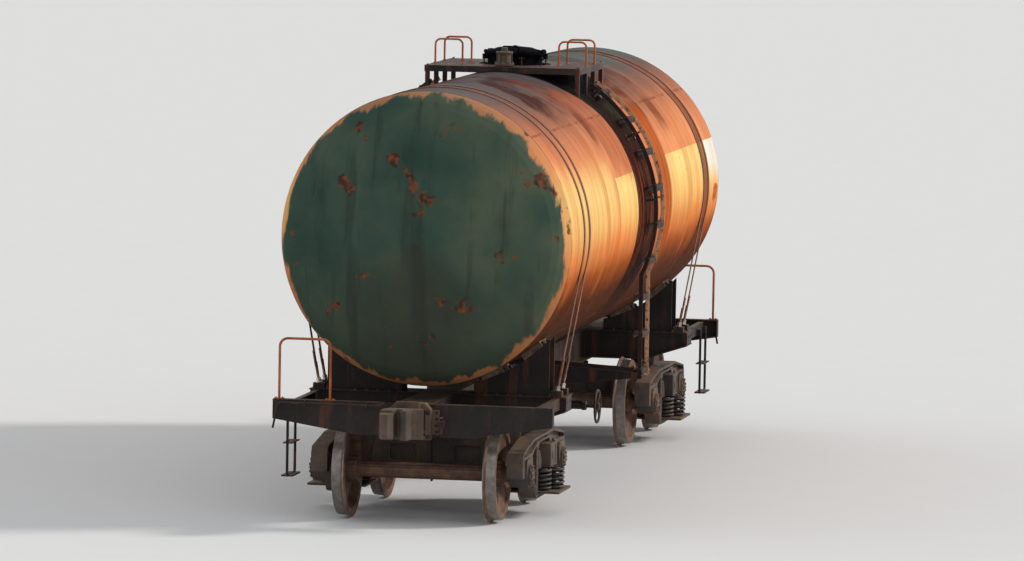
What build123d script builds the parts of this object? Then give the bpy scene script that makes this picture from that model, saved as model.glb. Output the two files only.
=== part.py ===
from build123d import *

# Four-axle railway tank car, empty, standing on its own wheels. Millimetres throughout.
# x runs along the track, y across it and z up. The origin is midway between the bogies, and z 0 is
# the lowest point of the wheel flanges. Heights that are read off a rail add FLANGE_HEIGHT.
import os
from math import acos, asin, atan2, cos, degrees, hypot, radians, sin, sqrt

SEAT_GAP = 0.3  # left between a curved face and what it rests on
PIN_GAP = 1.0  # radial, round a pin or a journal that turns
STEEL = 12.0  # plate of the welded frame

# Wheels and axles
TREAD_RADIUS = 478.5
FLANGE_HEIGHT = 28.0
BACK_TO_BACK = 1440.0
RIM_WIDTH = 130.0
RIM_DEPTH = 70.0
FLANGE_WIDTH = 33.0
WEB_THICKNESS = 24.0
HUB_LENGTH = 190.0
HUB_RADIUS = 137.0
WHEEL_SEAT_RADIUS = 97.0
AXLE_RADIUS = 82.5
JOURNAL_RADIUS = 65.0
JOURNAL_CENTRES = 2036.0
JOURNAL_LENGTH = 190.0
AXLE_Z = TREAD_RADIUS + FLANGE_HEIGHT
JOURNAL_Y = JOURNAL_CENTRES / 2
WHEEL_INNER_Y = BACK_TO_BACK / 2
WHEEL_OUTER_Y = WHEEL_INNER_Y + RIM_WIDTH

# Bogies
WHEELBASE = 1850.0
BOGIE_CENTRES = 7800.0
BOWL_Z = FLANGE_HEIGHT + 801.0
BOWL_RADIUS = 151.0
BOWL_LIP = 30.0
BOWL_WALL = 35.0
SIDE_BEARER_Y = 762.0
SIDE_BEARER_RISE = 38.0
SIDE_BEARER_GAP = 8.0
FRAME_WIDTH = 170.0  # a side frame, across
FRAME_END = 283.0  # a side frame's reach past the axle
FRAME_CROWN_Z = FLANGE_HEIGHT + 815.0
FRAME_CHORD = 70.0
FRAME_RIB = 26.0
SPRING_SEAT_Z = FLANGE_HEIGHT + 245.0
SPRING_RADIUS = 98.0
SPRING_WIRE = 30.0
SPRING_HEIGHT = 232.0
SPRING_PITCH = 205.0
SPRING_TURNS = 3
WINDOW_HALF = 335.0  # the spring opening, along the track
BOX_WIDTH = 330.0
BOX_LENGTH = 190.0
SHOE_GAP = 8.0
SHOE_THICKNESS = 55.0
SHOE_WIDTH = 78.0
SHOE_REACH = 165.0  # above and below the brake beam
BOW_DEPTH = 125.0  # of the brake beam's bow, behind its shoes
BOLSTER_GAP = 43.5  # between that bow and the bogie bolster
KING_PIN_RADIUS = 27.0
FRAME_HALF_LENGTH = WHEELBASE / 2 + FRAME_END
SHOE_BACK_X = WHEELBASE / 2 - TREAD_RADIUS - SHOE_GAP - SHOE_THICKNESS
BEAM_HALF = SHOE_BACK_X - BOW_DEPTH - BOLSTER_GAP  # bogie bolster between the side frames
SPRING_TOP_Z = SPRING_SEAT_Z + SPRING_HEIGHT
BEAM_END_HALF = 150.0  # bogie bolster where it rests on the springs, along the track
BEAM_END_Y = JOURNAL_Y + 175.0
BEAM_TOP_Z = BOWL_Z - 30.0
BEAM_END_TOP_Z = FRAME_CROWN_Z - FRAME_CHORD - 25.0

# Underframe
FRAME_LENGTH = 10800.0
SILL_Z = FLANGE_HEIGHT + 905.0
SILL_HEIGHT = 310.0
SILL_GAP = 350.0
SILL_FLANGE = 110.0
SILL_TOP = SILL_Z + SILL_HEIGHT
COUPLER_Z = SILL_Z + SILL_HEIGHT / 2
SILL_OUTER = SILL_GAP / 2 + STEEL
BOLSTER_HALF_WIDTH = 200.0
BOLSTER_WEB_X = 140.0
BOLSTER_END_DEPTH = 150.0
BOLSTER_FLAT_Y = 860.0
END_BEAM_DEPTH = 100.0
END_BEAM_HALF = 1450.0
END_BEAM_RISE = 10.0  # over the sill's top
SIDE_BEAM_Y = 1290.0
SIDE_BEAM_HEIGHT = 120.0

# Tank
BARREL_RADIUS = 1510.0
WALL = 10.0
TANK_LENGTH = 10770.0
HEAD_DEPTH = 600.0
KNUCKLE_RADIUS = 300.0
KNUCKLE_STEPS, CROWN_STEPS = 4, 4
INNER_STEPS = 2
TANK_CLEARANCE = 135.0  # between the tank and the centre sill
AXIS_Z = SILL_TOP + TANK_CLEARANCE + BARREL_RADIUS
SEAM_ANGLE = 45.0
MANHOLE_RADIUS = 285.0
NECK_WALL = 12.0
NECK_RISE = 170.0
NECK_FLANGE = 38.0
LID_RADIUS = 340.0
LID_THICKNESS = 20.0
LID_DOME = 45.0
HATCH_PIN_X = 402.0
HATCH_PIN_RADIUS = 12.0
HATCH_PIN_RISE = 16.0  # over the neck's flange
EYE_BOLTS = 8
BARREL_HALF = TANK_LENGTH / 2 - HEAD_DEPTH
INNER_RADIUS = BARREL_RADIUS - WALL
BARREL_TOP = AXIS_Z + BARREL_RADIUS
NECK_TOP = BARREL_TOP + NECK_RISE
NECK_RADIUS = MANHOLE_RADIUS + NECK_WALL
HATCH_PIN_Z = NECK_TOP + HATCH_PIN_RISE
VALVE_X = -620.0
VALVE_FLANGE_RADIUS = 105.0
OUTLET_RADIUS = 109.5
OUTLET_FLANGE_RADIUS = 145.0
OUTLET_FOOT_Z = FLANGE_HEIGHT + 560.0
CENTRE_FOOT_X = 520.0

# What holds the tank down
PAD_THICKNESS = 60.0
PAD_ANGLES = (22.0, 40.0)
PAD_HALF_ANGLE = 4.5
CRADLE_MARGIN = 3.5  # degrees of cradle past its pads
STRAP_WIDTH = 60.0
STRAP_THICKNESS = 8.0
STRAP_OFFSET = 155.0
ANCHOR_HALF = 60.0
ANCHOR_HEIGHT = 60.0
ANCHOR_GAP = 23.0  # between a cradle and the straps' anchors
CRADLE_ANGLE = PAD_ANGLES[-1] + PAD_HALF_ANGLE + CRADLE_MARGIN
CRADLE_Y = (BARREL_RADIUS + PAD_THICKNESS) * sin(radians(CRADLE_ANGLE))
ANCHOR_Y = CRADLE_Y + ANCHOR_GAP + ANCHOR_HALF
BOLSTER_END_Y = ANCHOR_Y + ANCHOR_HALF + 40.0

# Ladders and platform
LADDER_STANDOFF = 110.0
LADDER_GAUGE = 450.0
LADDER_LOW_ANGLE = -25.0
LADDER_HIGH_ANGLE = 57.5
LADDER_BRACKETS = (5.0, 32.0, 54.0)  # degrees over the tank's middle
LADDER_FOOT_Z = SILL_TOP - 163.0
LADDER_STEP = 400.0
STRINGER_DEPTH = 45.0
STRINGER_THICKNESS = 10.0
TREAD_DEPTH = 130.0
DECK_RISE = 42.0
DECK_HALF_X = 760.0
DECK_HALF_Y = 850.0
DECK_THICKNESS = 8.0
DECK_RIM = 60.0
DECK_LEG_INSET = 30.0
DECK_HOLE = 395.0
GRAB_RISE = 260.0
GRAB_DEPTH = 300.0
GRAB_RADIUS = 11.0
DECK_Z = BARREL_TOP + DECK_RISE
LADDER_RADIUS = BARREL_RADIUS + LADDER_STANDOFF

# Coupler and striker
STRIKER_DEPTH = 110.0
SHANK_WIDTH = 130.0
SHANK_HEIGHT = 175.0
HEAD_LENGTH = 410.0
COUPLER_HALF_HEIGHT = 150.0
COUPLER_OVERHANG = 610.0  # from the frame's end to the coupling plane
COUPLER_HOLE_RADIUS = 38.0
YOKE_LENGTH = 880.0  # behind its key
YOKE_THICKNESS, YOKE_BACK = 26.0, 35.0
FRAME_HALF = FRAME_LENGTH / 2
COUPLER_FACE_X = FRAME_HALF + COUPLER_OVERHANG
COUPLER_PIVOT_X = FRAME_HALF - 400.0
STRIKER_HALF, STRIKER_LOW, STRIKER_HIGH = 160.0, 150.0, 115.0  # its opening, about the coupler's line
BOGIE_X = BOGIE_CENTRES / 2

# Brake gear
PIPE_RADIUS = 21.0
PIPE_Y = 330.0
PIPE_Z = COUPLER_Z - 25.0
PIPE_LOW_Z = SILL_Z - 70.0
PIPE_CROSSING = (-1900.0, -2650.0)
CYLINDER_X, CYLINDER_Y, CYLINDER_Z = 900.0, 500.0, SILL_Z + 60.0
CYLINDER_RADIUS = 190.0
CYLINDER_HALF = 230.0
LEVER_X = CYLINDER_X - 470.0
LEVER_Z = SILL_Z - 40.0
LEVER_PIN_RADIUS = 16.0
ROD_RADIUS = 11.0
ROD_END_Z = BOWL_Z - 60.0
ROD_END_INSET = SHOE_BACK_X - 63.5  # from the bogie's centre to the pull rod's end
RESERVOIR_X, RESERVOIR_Y, RESERVOIR_Z = -1000.0, 470.0, SILL_Z + 110.0
DISTRIBUTOR_X, DISTRIBUTOR_Y, DISTRIBUTOR_Z = -1000.0, -470.0, SILL_Z + 100.0
HANDBRAKE_X, HANDBRAKE_Y, HANDBRAKE_Z = -2450.0, -1400.0, SILL_Z + 60.0
HANDWHEEL_RADIUS = 170.0

# Rods, steps and rails at the ends
LEVER_HANDLE_DROP = 260.0
LEVER_BRACKETS = (-1100.0, -460.0)
STEP_BACK, STEP_FRONT = 560.0, 190.0  # from the frame's end
STEP_Z = FLANGE_HEIGHT + 420.0
STEP_PITCH = 330.0
RAIL_RISE = 620.0
RAIL_INNER_Y = 860.0
RAIL_RADIUS = 13.0


# Small tools


def block(x, y, z):
    """A box from its low and high limits along each axis."""
    size = [high - low for low, high in (x, y, z)]
    middle = [(high + low) / 2 for low, high in (x, y, z)]
    return Pos(*middle) * Box(*size)


def bar(start, end, radius):
    """A round bar between two points."""
    a, b = Vector(*start), Vector(*end)
    path = b - a
    return Plane(origin=a, z_dir=path) * Cylinder(
        radius, path.length, align=(Align.CENTER, Align.CENTER, Align.MIN)
    )


def bent_bar(points, radius, cut):
    """A round bar along straight runs, with each corner turned by two mitres."""
    path = [Vector(*points[0])]
    for before, corner, after in zip(points, points[1:], points[2:]):
        for other in (before, after):
            leg = Vector(*other) - Vector(*corner)
            path.append(Vector(*corner) + leg.normalized() * cut)
    line = Polyline(*path, Vector(*points[-1]))
    return sweep(
        Plane(origin=line @ 0, z_dir=line % 0) * Circle(radius), path=line, transition=Transition.RIGHT
    )


def upright(y, x, low, high, radius):
    return Pos(x, y, low) * Cylinder(radius, high - low, align=(Align.CENTER, Align.CENTER, Align.MIN))


def outline(points, rounding=0):
    """A flat face inside the points, with every corner rounded if asked."""
    face = make_face(Polyline(*points, close=True))
    return fillet(face.vertices(), rounding) if rounding else face


def both_ways(half):
    """An outline's right half, and then the same points turned over to the left."""
    return half + [(-across, up) for across, up in reversed(half)]


def along_x(points, low, high, rounding=0):
    """An outline of (y, z) points, its corners rounded, made solid from x low to x high."""
    face = Plane.YZ * outline(points, rounding)
    return Pos(low, 0, 0) * extrude(face, high - low, dir=(1, 0, 0))


def along_y(points, low, high, rounding=0):
    """An outline of (x, z) points, made solid from y low to y high."""
    face = Plane.XZ * outline(points, rounding)
    return Pos(0, low, 0) * extrude(face, high - low, dir=(0, 1, 0))


def along_z(points, low, high, rounding=0):
    face = outline(points, rounding)
    return Pos(0, 0, low) * extrude(face, high - low, dir=(0, 0, 1))


def turned_x(profile):
    """A solid turned about the x axis from (along, radius) points."""
    return revolve(make_face(Polyline(*[(a, r, 0) for a, r in profile], close=True)), Axis.X)


def turned_z(profile):
    """A solid turned about the z axis from (radius, up) points."""
    return revolve(make_face(Polyline(*[(r, 0, up) for r, up in profile], close=True)), Axis.Z)


def round_tank(radius, angle):
    """A point about the tank's axis as (y, z), with the angle up from +y."""
    return (radius * cos(angle), AXIS_Z + radius * sin(angle))


def barrel_cylinder(radius, half_length, x=0):
    return Pos(x, 0, AXIS_Z) * Rot(0, 90, 0) * Cylinder(radius, 2 * half_length)


def sector(inner, outer, middle_angle, half_angle, half_length, x=0):
    """Part of a ring about the tank's axis. Angles are from straight down, towards +y."""
    reach = outer * 2
    edges = [
        (reach * sin(radians(a)), AXIS_Z - reach * cos(radians(a)))
        for a in (middle_angle - half_angle, middle_angle + half_angle)
    ]
    wedge = along_x([(0, AXIS_Z), *edges], x - half_length, x + half_length)
    ring = barrel_cylinder(outer, half_length, x) - barrel_cylinder(inner, half_length * 2, x)
    return ring & wedge


def both_sides(shapes):
    return [s for shape in shapes for s in (shape, mirror(shape, Plane.XZ))]


def both_ends(shapes):
    """Each piece and its copy at the other end, turned half round as a car's ends are."""
    return [s for shape in shapes for s in (shape, Rot(0, 0, 180) * shape)]


def all_corners(shapes):
    return both_ends(both_sides(shapes))


def save(name, shapes):
    os.makedirs("parts", exist_ok=True)
    shapes = shapes if isinstance(shapes, list) else [shapes]
    solids = [solid for shape in shapes for solid in shape.solids()]
    export_step(Compound(children=solids), f"parts/{name}.step")


# Wheelsets


def wheel():
    """One wheel on the +y side, turned about the y axis: flange inboard, dished web and hub."""
    inner, outer = WHEEL_INNER_Y, WHEEL_OUTER_Y
    under_rim = TREAD_RADIUS - RIM_DEPTH
    flange = TREAD_RADIUS + FLANGE_HEIGHT
    hub_in = WHEEL_INNER_Y - HUB_LENGTH / 3
    hub_out = hub_in + HUB_LENGTH
    web_high, web_low = outer - 40, inner + 57
    profile = [
        (under_rim, inner),
        (flange - 8, inner),
        (flange, inner + 14),
        (TREAD_RADIUS + 2, inner + FLANGE_WIDTH),
        (TREAD_RADIUS - 6, outer),
        (under_rim, outer),
        (under_rim - 20, web_high + WEB_THICKNESS / 2),
        (HUB_RADIUS, web_low + WEB_THICKNESS / 2),
        (HUB_RADIUS, hub_out),
        (WHEEL_SEAT_RADIUS, hub_out),
        (WHEEL_SEAT_RADIUS, hub_in),
        (HUB_RADIUS, hub_in),
        (HUB_RADIUS, web_low - WEB_THICKNESS / 2),
        (under_rim - 20, web_high - WEB_THICKNESS / 2),
    ]
    face = make_face(Polyline(*[(r, y, 0) for r, y in profile], close=True))
    return revolve(face, Axis.Y)


def axle():
    """The axle, turned about the y axis, with its wheel seats and the journals beyond them."""
    end = JOURNAL_Y + JOURNAL_LENGTH / 2
    shoulder = end - JOURNAL_LENGTH
    seat_out = WHEEL_OUTER_Y + 12
    seat_in = WHEEL_INNER_Y - HUB_LENGTH / 3 - 5
    half = [
        (AXLE_RADIUS, seat_in - 15),
        (WHEEL_SEAT_RADIUS, seat_in),
        (WHEEL_SEAT_RADIUS, seat_out),
        (AXLE_RADIUS, seat_out + 10),
        (AXLE_RADIUS, shoulder),
        (JOURNAL_RADIUS, shoulder),
        (JOURNAL_RADIUS, end),
        (0, end),
    ]
    profile = half + [(r, -y) for r, y in reversed(half)]
    face = make_face(Polyline(*[(r, y, 0) for r, y in profile], close=True))
    return revolve(face, Axis.Y)


# Bogies, built about their own centre


def side_frame():
    """The cast side frame on the +y side: a truss with pedestals for the axleboxes, columns and a
    spring opening. Its outline and windows are drawn in x and z, and both faces are recessed."""
    crown, base = FRAME_CROWN_Z, SPRING_SEAT_Z - FRAME_CHORD
    axle_x = WHEELBASE / 2
    jaw_in, jaw_out = axle_x - BOX_WIDTH / 2 - 4, axle_x + BOX_WIDTH / 2 + 4
    ceiling = AXLE_Z + BOX_WIDTH / 2
    knee = WINDOW_HALF + 95
    half = [
        (560, crown),
        (FRAME_HALF_LENGTH - 40, ceiling + 80),
        (FRAME_HALF_LENGTH, ceiling + 20),
        (FRAME_HALF_LENGTH, AXLE_Z - 20),
        (jaw_out, AXLE_Z - 20),
        (jaw_out, ceiling),
        (jaw_in, ceiling),
        (jaw_in, AXLE_Z - 60),
        (jaw_in - 75, AXLE_Z - 60),
        (knee, base + 20),
        (knee - 60, base),
    ]
    window_top = crown - FRAME_CHORD
    window = [
        (WINDOW_HALF, SPRING_SEAT_Z),
        (WINDOW_HALF, window_top - 60),
        (WINDOW_HALF - 60, window_top),
    ]
    slot = [
        (knee + 5, window_top - 8),
        (jaw_in - 90, ceiling + 12),
        (jaw_in - 90, AXLE_Z - 5),
        (knee + 5, SPRING_SEAT_Z + 40),
    ]
    low, high = JOURNAL_Y - FRAME_WIDTH / 2, JOURNAL_Y + FRAME_WIDTH / 2
    frame = along_y(both_ways(half), low, high, 18) - along_y(both_ways(window), low, high)
    for side in (1, -1):
        frame = frame - along_y([(side * x, z) for x, z in slot], low, high, 30)
    # Pockets that leave the chords and diagonals as ribs on each face
    chord = [
        (-550, crown - FRAME_RIB),
        (550, crown - FRAME_RIB),
        (FRAME_HALF_LENGTH - 62, ceiling + 64),
        (FRAME_HALF_LENGTH - 55, ceiling + 26),
        (jaw_in - 40, ceiling + 36),
        (WINDOW_HALF + 30, window_top + 22),
        (-WINDOW_HALF - 30, window_top + 22),
        (-jaw_in + 40, ceiling + 36),
        (-FRAME_HALF_LENGTH + 55, ceiling + 26),
        (-FRAME_HALF_LENGTH + 62, ceiling + 64),
    ]
    diagonal = [
        (jaw_in - 105, AXLE_Z - 40),
        (jaw_in - 68, AXLE_Z - 40),
        (knee - 20, base + 24),
        (knee - 45, base + 40),
    ]
    depth = FRAME_WIDTH / 3
    for points in (chord, diagonal, [(-x, z) for x, z in diagonal]):
        for start, end in ((low, low + depth), (high - depth, high)):
            frame = frame - along_y(points, start, end, 8)
    seat = block(
        (-WINDOW_HALF, WINDOW_HALF),
        (JOURNAL_Y - SPRING_PITCH * 1.5, JOURNAL_Y + SPRING_PITCH * 1.5),
        (SPRING_SEAT_Z - 22, SPRING_SEAT_Z),
    )
    return frame + seat


def axlebox(x):
    """A housing bored for the journal, with a round cover and wings that fill the pedestal."""
    start = JOURNAL_Y - BOX_LENGTH / 2 + 6
    end = JOURNAL_Y + BOX_LENGTH / 2 + 12
    half = BOX_WIDTH / 2
    outline = [
        (x - half, AXLE_Z + 30),
        (x - half, AXLE_Z + half - 40),
        (x - half + 40, AXLE_Z + half),
        (x + half - 40, AXLE_Z + half),
        (x + half, AXLE_Z + half - 40),
        (x + half, AXLE_Z + 30),
        (x + 115, AXLE_Z - 60),
        (x + 70, AXLE_Z - 125),
        (x - 70, AXLE_Z - 125),
        (x - 115, AXLE_Z - 60),
    ]
    box = along_y(outline, start, end)
    cover = Pos(x, 0, AXLE_Z) * Rot(-90, 0, 0)
    ring = cover * Pos(0, 0, end) * Cylinder(112, 22, align=(Align.CENTER, Align.CENTER, Align.MIN))
    cap = cover * Pos(0, 0, end + 22) * Cylinder(70, 14, align=(Align.CENTER, Align.CENTER, Align.MIN))
    bore = cover * Pos(0, 0, start - 1) * Cylinder(
        JOURNAL_RADIUS + PIN_GAP,
        JOURNAL_Y + JOURNAL_LENGTH / 2 + 6 - start,
        align=(Align.CENTER, Align.CENTER, Align.MIN),
    )
    return box + ring + cap - bore


def bogie_bolster():
    """The beam across the bogie: deep in the middle, shallow on the springs, with cored windows in its
    sides, the bowl that takes the car's centre plate and the two side bearers."""
    half = [
        (JOURNAL_Y - 330, SPRING_TOP_Z),
        (BEAM_END_Y, SPRING_TOP_Z),
        (BEAM_END_Y, BEAM_END_TOP_Z),
        (JOURNAL_Y - 130, BEAM_END_TOP_Z),
        (SIDE_BEARER_Y - 140, BEAM_TOP_Z),
    ]
    belly = [(-420, SPRING_TOP_Z - 75), (420, SPRING_TOP_Z - 75)]
    middle = [(y, z) for y, z in both_ways(half) + belly if abs(y) < JOURNAL_Y - 200]
    beam = along_x(middle, -BEAM_HALF, BEAM_HALF)
    for end in both_sides([along_x(half, -BEAM_END_HALF, BEAM_END_HALF)]):
        beam = beam + end
    bowl = upright(0, 0, BEAM_TOP_Z, BOWL_Z + BOWL_LIP, BOWL_RADIUS + BOWL_WALL)
    bowl = bowl - upright(0, 0, BOWL_Z, BOWL_Z + BOWL_LIP, BOWL_RADIUS)
    beam = beam + bowl - upright(0, 0, BEAM_TOP_Z - 140, BOWL_Z, KING_PIN_RADIUS + PIN_GAP)
    top = BOWL_Z + SIDE_BEARER_RISE
    low, high = SPRING_TOP_Z + 20, BEAM_TOP_Z - 90
    window = [(200, low), (480, low), (480, high), (200, high)]
    for side in (-1, 1):
        y = side * SIDE_BEARER_Y
        beam = beam + block((-115, 115), (y - 75, y + 75), (BEAM_END_TOP_Z - 30, top))
        for face in (-BEAM_HALF, BEAM_HALF - 40):
            beam = beam - along_x([(side * wy, wz) for wy, wz in window], face, face + 40, 40)
    return beam


def springs():
    """One nest of seven coil springs on the +y side: three under the beam, two under each wedge. A coil
    is a stack of turned ridges, one for each turn of the wire."""
    turn = SPRING_HEIGHT / SPRING_TURNS
    core = SPRING_RADIUS - SPRING_WIRE / 2
    profile = [(0, 0), (core, 0)]
    for n in range(SPRING_TURNS):
        profile += [(SPRING_RADIUS, (n + 0.5) * turn), (core, (n + 1) * turn)]
    profile += [(0, SPRING_HEIGHT)]
    face = make_face(Polyline(*[(r, 0, z) for r, z in profile], close=True))
    coil = revolve(face, Axis.Z)
    across, along = SPRING_PITCH, SPRING_PITCH * sin(radians(60))
    places = [(0, 0), (0, across), (0, -across)]
    places += [(sx * along, sy * across / 2) for sx in (-1, 1) for sy in (-1, 1)]
    return [Pos(x, JOURNAL_Y + y, SPRING_SEAT_Z) * coil for x, y in places]


def wedges():
    """Friction wedges between the beam's end and the side frame's columns, on the +y side."""
    inner = BEAM_END_HALF + SEAT_GAP
    outer = WINDOW_HALF - SEAT_GAP
    points = [
        (inner, SPRING_TOP_Z),
        (outer, SPRING_TOP_Z),
        (outer, SPRING_TOP_Z + 190),
        (outer - 55, SPRING_TOP_Z + 190),
        (inner, SPRING_TOP_Z + 60),
    ]
    right = along_y(points, JOURNAL_Y - 90, JOURNAL_Y + 90)
    return [right, mirror(right, Plane.YZ)]


def brake_beam():
    """The triangular brake beam of the +x wheelset: a bowed strut, a straight tie, hangers and shoes
    that stand SHOE_GAP clear of the treads."""
    axle_x = WHEELBASE / 2
    back = SHOE_BACK_X
    shoe_low, shoe_high = WHEEL_INNER_Y + FLANGE_WIDTH + 8, WHEEL_INNER_Y + FLANGE_WIDTH + 8 + SHOE_WIDTH
    z = AXLE_Z - 45
    reach = TREAD_RADIUS + SHOE_GAP + SHOE_THICKNESS
    centre = Pos(axle_x, 0, AXLE_Z) * Rot(90, 0, 0)
    shoe = centre * Cylinder(reach, 2 * shoe_high)
    edge = axle_x - 0.79 * TREAD_RADIUS
    shoe = shoe & block((back - 10, edge), (shoe_low, shoe_high), (z - SHOE_REACH, z + SHOE_REACH))
    shoe = shoe - centre * Cylinder(TREAD_RADIUS + SHOE_GAP, 2 * WHEEL_OUTER_Y)
    head = block((back - 40, back + 25), (shoe_low + 14, shoe_high - 14), (z - 60, z + 60))
    hanger_y, hanger_top = (shoe_low + shoe_high) / 2, FRAME_CROWN_Z - 125
    hanger = bar((back - 20, hanger_y, z + 30), (back - 10, hanger_y, hanger_top), 14)
    side = JOURNAL_Y - FRAME_WIDTH / 2
    foot = block((back - 28, back + 8), (shoe_low + 25, side), (hanger_top - 25, hanger_top + 25))
    whole = block((back - 40, back - 15), (-shoe_high + 15, shoe_high - 15), (z - 28, z + 28))
    bow = back - BOW_DEPTH
    half = [(shoe_low + 20, back - 30), (70, bow), (50, bow + 30), (shoe_low - 30, back - 30)]
    outer, inner = half[:2], half[2:]
    strut = [(x, y) for y, x in outer] + [(x, -y) for y, x in reversed(outer)]
    strut += [(x, -y) for y, x in reversed(inner)] + [(x, y) for y, x in inner]
    whole = whole + along_z(strut, z - 22, z + 22)
    whole = whole + block((back - 110, back - 30), (-22, 22), (z - 20, z + 20))
    for piece in both_sides([shoe, head, hanger, foot]):
        whole = whole + piece
    return whole


def brake_levers():
    """The upright levers of both brake beams and the strut that joins their feet under the beam."""
    back = SHOE_BACK_X
    low_z = AXLE_Z - 150
    lever = along_y(
        [
            (back - 160, low_z - 30),
            (back - 128, low_z - 30),
            (back - 95, BEAM_TOP_Z - 40),
            (back - 120, BEAM_TOP_Z - 40),
        ],
        24,
        40,
    )
    strut = bar((-back + 144, 32, low_z), (back - 144, 32, low_z), 19)
    return lever + mirror(lever, Plane.YZ) + strut


# Underframe


def centre_sill():
    """Two rolled beams set back to back as a hat, with a hole for the outlet pipe."""
    inner, outer, flange = SILL_GAP / 2, SILL_OUTER, SILL_GAP / 2 + SILL_FLANGE
    half = [
        (outer, SILL_TOP),
        (outer, SILL_Z + STEEL),
        (flange, SILL_Z + STEEL),
        (flange, SILL_Z),
        (inner, SILL_Z),
        (inner, SILL_TOP - STEEL),
    ]
    sill = along_x(both_ways(half), -FRAME_HALF + STEEL, FRAME_HALF - STEEL)
    return sill - upright(0, 0, SILL_TOP - 50, SILL_TOP + 50, OUTLET_RADIUS + 40)


def body_bolster():
    """A welded cross beam over each bogie, with the centre plate, king pin and side bearers under it and
    the strap anchors at its ends. One bottom plate joins both sides under the sill."""
    end, flat = BOLSTER_END_Y, BOLSTER_FLAT_Y
    end_z = SILL_TOP - BOLSTER_END_DEPTH
    bottom = [(-end, end_z), (-flat, SILL_Z), (flat, SILL_Z), (end, end_z)]
    plate = bottom + [(y, z - STEEL) for y, z in reversed(bottom)]
    beam = along_x(plate, -BOLSTER_HALF_WIDTH, BOLSTER_HALF_WIDTH)
    flange = SILL_GAP / 2 + SILL_FLANGE
    web = [
        (SILL_OUTER, SILL_TOP - STEEL),
        (SILL_OUTER, SILL_Z + STEEL),
        (flange, SILL_Z + STEEL),
        (flange, SILL_Z),
        (flat, SILL_Z),
        (end, end_z),
        (end, SILL_TOP - STEEL),
    ]
    sides = [
        along_x(web, x - STEEL / 2, x + STEEL / 2) for x in (-BOLSTER_WEB_X, BOLSTER_WEB_X)
    ]
    width = (-BOLSTER_HALF_WIDTH, BOLSTER_HALF_WIDTH)
    sides.append(block(width, (SILL_OUTER, end), (SILL_TOP - STEEL, SILL_TOP)))
    sides.append(block((-BOLSTER_WEB_X, BOLSTER_WEB_X), (end - STEEL, end), (end_z - STEEL, SILL_TOP)))
    bearer_top = BOWL_Z + SIDE_BEARER_RISE + SIDE_BEARER_GAP
    sides.append(block((-100, 100), (SIDE_BEARER_Y - 60, SIDE_BEARER_Y + 60), (bearer_top, SILL_Z - STEEL)))
    sides += [anchor_block(x, ANCHOR_Y) for x in (-STRAP_OFFSET, STRAP_OFFSET)]
    for piece in both_sides(sides):
        beam = beam + piece
    beam = beam + upright(0, 0, BOWL_Z + SEAT_GAP, SILL_Z, BOWL_RADIUS - PIN_GAP)
    beam = beam + upright(0, 0, BOWL_Z - 150, SILL_Z, KING_PIN_RADIUS)
    return beam


def end_beam():
    """A pressed tray across the +x end of the frame, deeper in the middle, cut for the coupler."""
    top, low, high = SILL_TOP + END_BEAM_RISE, SILL_Z - 10, SILL_TOP - 190
    outer = [(620, low), (END_BEAM_HALF, high), (END_BEAM_HALF, top)]
    edge = END_BEAM_HALF - STEEL
    inset = [(618, low + STEEL), (edge, high + STEEL), (edge, top - STEEL)]
    front, back = FRAME_HALF, FRAME_HALF - END_BEAM_DEPTH
    beam = along_x(both_ways(outer), back, front) - along_x(both_ways(inset), back - 1, front - STEEL)
    hole = bar((back, PIPE_Y, PIPE_Z), (front + 1, PIPE_Y, PIPE_Z), PIPE_RADIUS + 6)
    reach = SILL_OUTER + SILL_FLANGE
    sill = block((back - 1, front - STEEL), (-reach, reach), (low - 1, top + 1))
    beam = beam - striker_opening(back, front + 1) - hole - sill
    return beam + block((front - STEEL, front), (-100, 100), (top - 5, top))


def side_beams():
    """Channels along the frame's edge at the +x end, from the bolster to the end beam."""
    y, top, low = SIDE_BEAM_Y, SILL_TOP - STEEL, SILL_TOP - STEEL - SIDE_BEAM_HEIGHT
    channel = [(y, top), (y - 60, top), (y - 60, top - 10), (y - 10, top - 10)]
    channel += [(y - 10, low + 10), (y - 60, low + 10), (y - 60, low), (y, low)]
    run = along_x(channel, BOGIE_X + BOLSTER_HALF_WIDTH, FRAME_HALF - END_BEAM_DEPTH)
    return run


def cradles():
    """Upright plates on a bolster, hollowed to the tank, on the +y side."""
    seat = BARREL_RADIUS + PAD_THICKNESS
    first = radians(PAD_ANGLES[0] - PAD_HALF_ANGLE - CRADLE_MARGIN)
    inner, outer, top = seat * sin(first), CRADLE_Y, AXIS_Z - seat * cos(radians(CRADLE_ANGLE))
    outline_points = [(inner, SILL_TOP), (outer, SILL_TOP), (outer, top), (inner, top)]
    hollow = barrel_cylinder(seat, 300, BOGIE_X)
    low, high = BOGIE_X - BOLSTER_WEB_X, BOGIE_X + BOLSTER_WEB_X
    whole = block((low, high), ((inner + outer) / 2, (inner + outer) / 2 + STEEL), (SILL_TOP, top)) - hollow
    for x in (low, high):
        whole = whole + (along_x(outline_points, x - STEEL / 2, x + STEEL / 2) - hollow)
    return [whole]


def pads():
    """Timber pads between the cradles and the tank, on the +y side."""
    inner, outer = BARREL_RADIUS + SEAT_GAP, BARREL_RADIUS + PAD_THICKNESS - SEAT_GAP
    return [
        sector(inner, outer, angle, PAD_HALF_ANGLE, BOLSTER_HALF_WIDTH, BOGIE_X)
        for angle in PAD_ANGLES
    ]


def anchor_block(x, y):
    """The block on a bolster's end that takes the rod of one strap."""
    width = (y - ANCHOR_HALF, y + ANCHOR_HALF)
    return block((x - 45, x + 45), width, (SILL_TOP, SILL_TOP + ANCHOR_HEIGHT))


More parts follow.
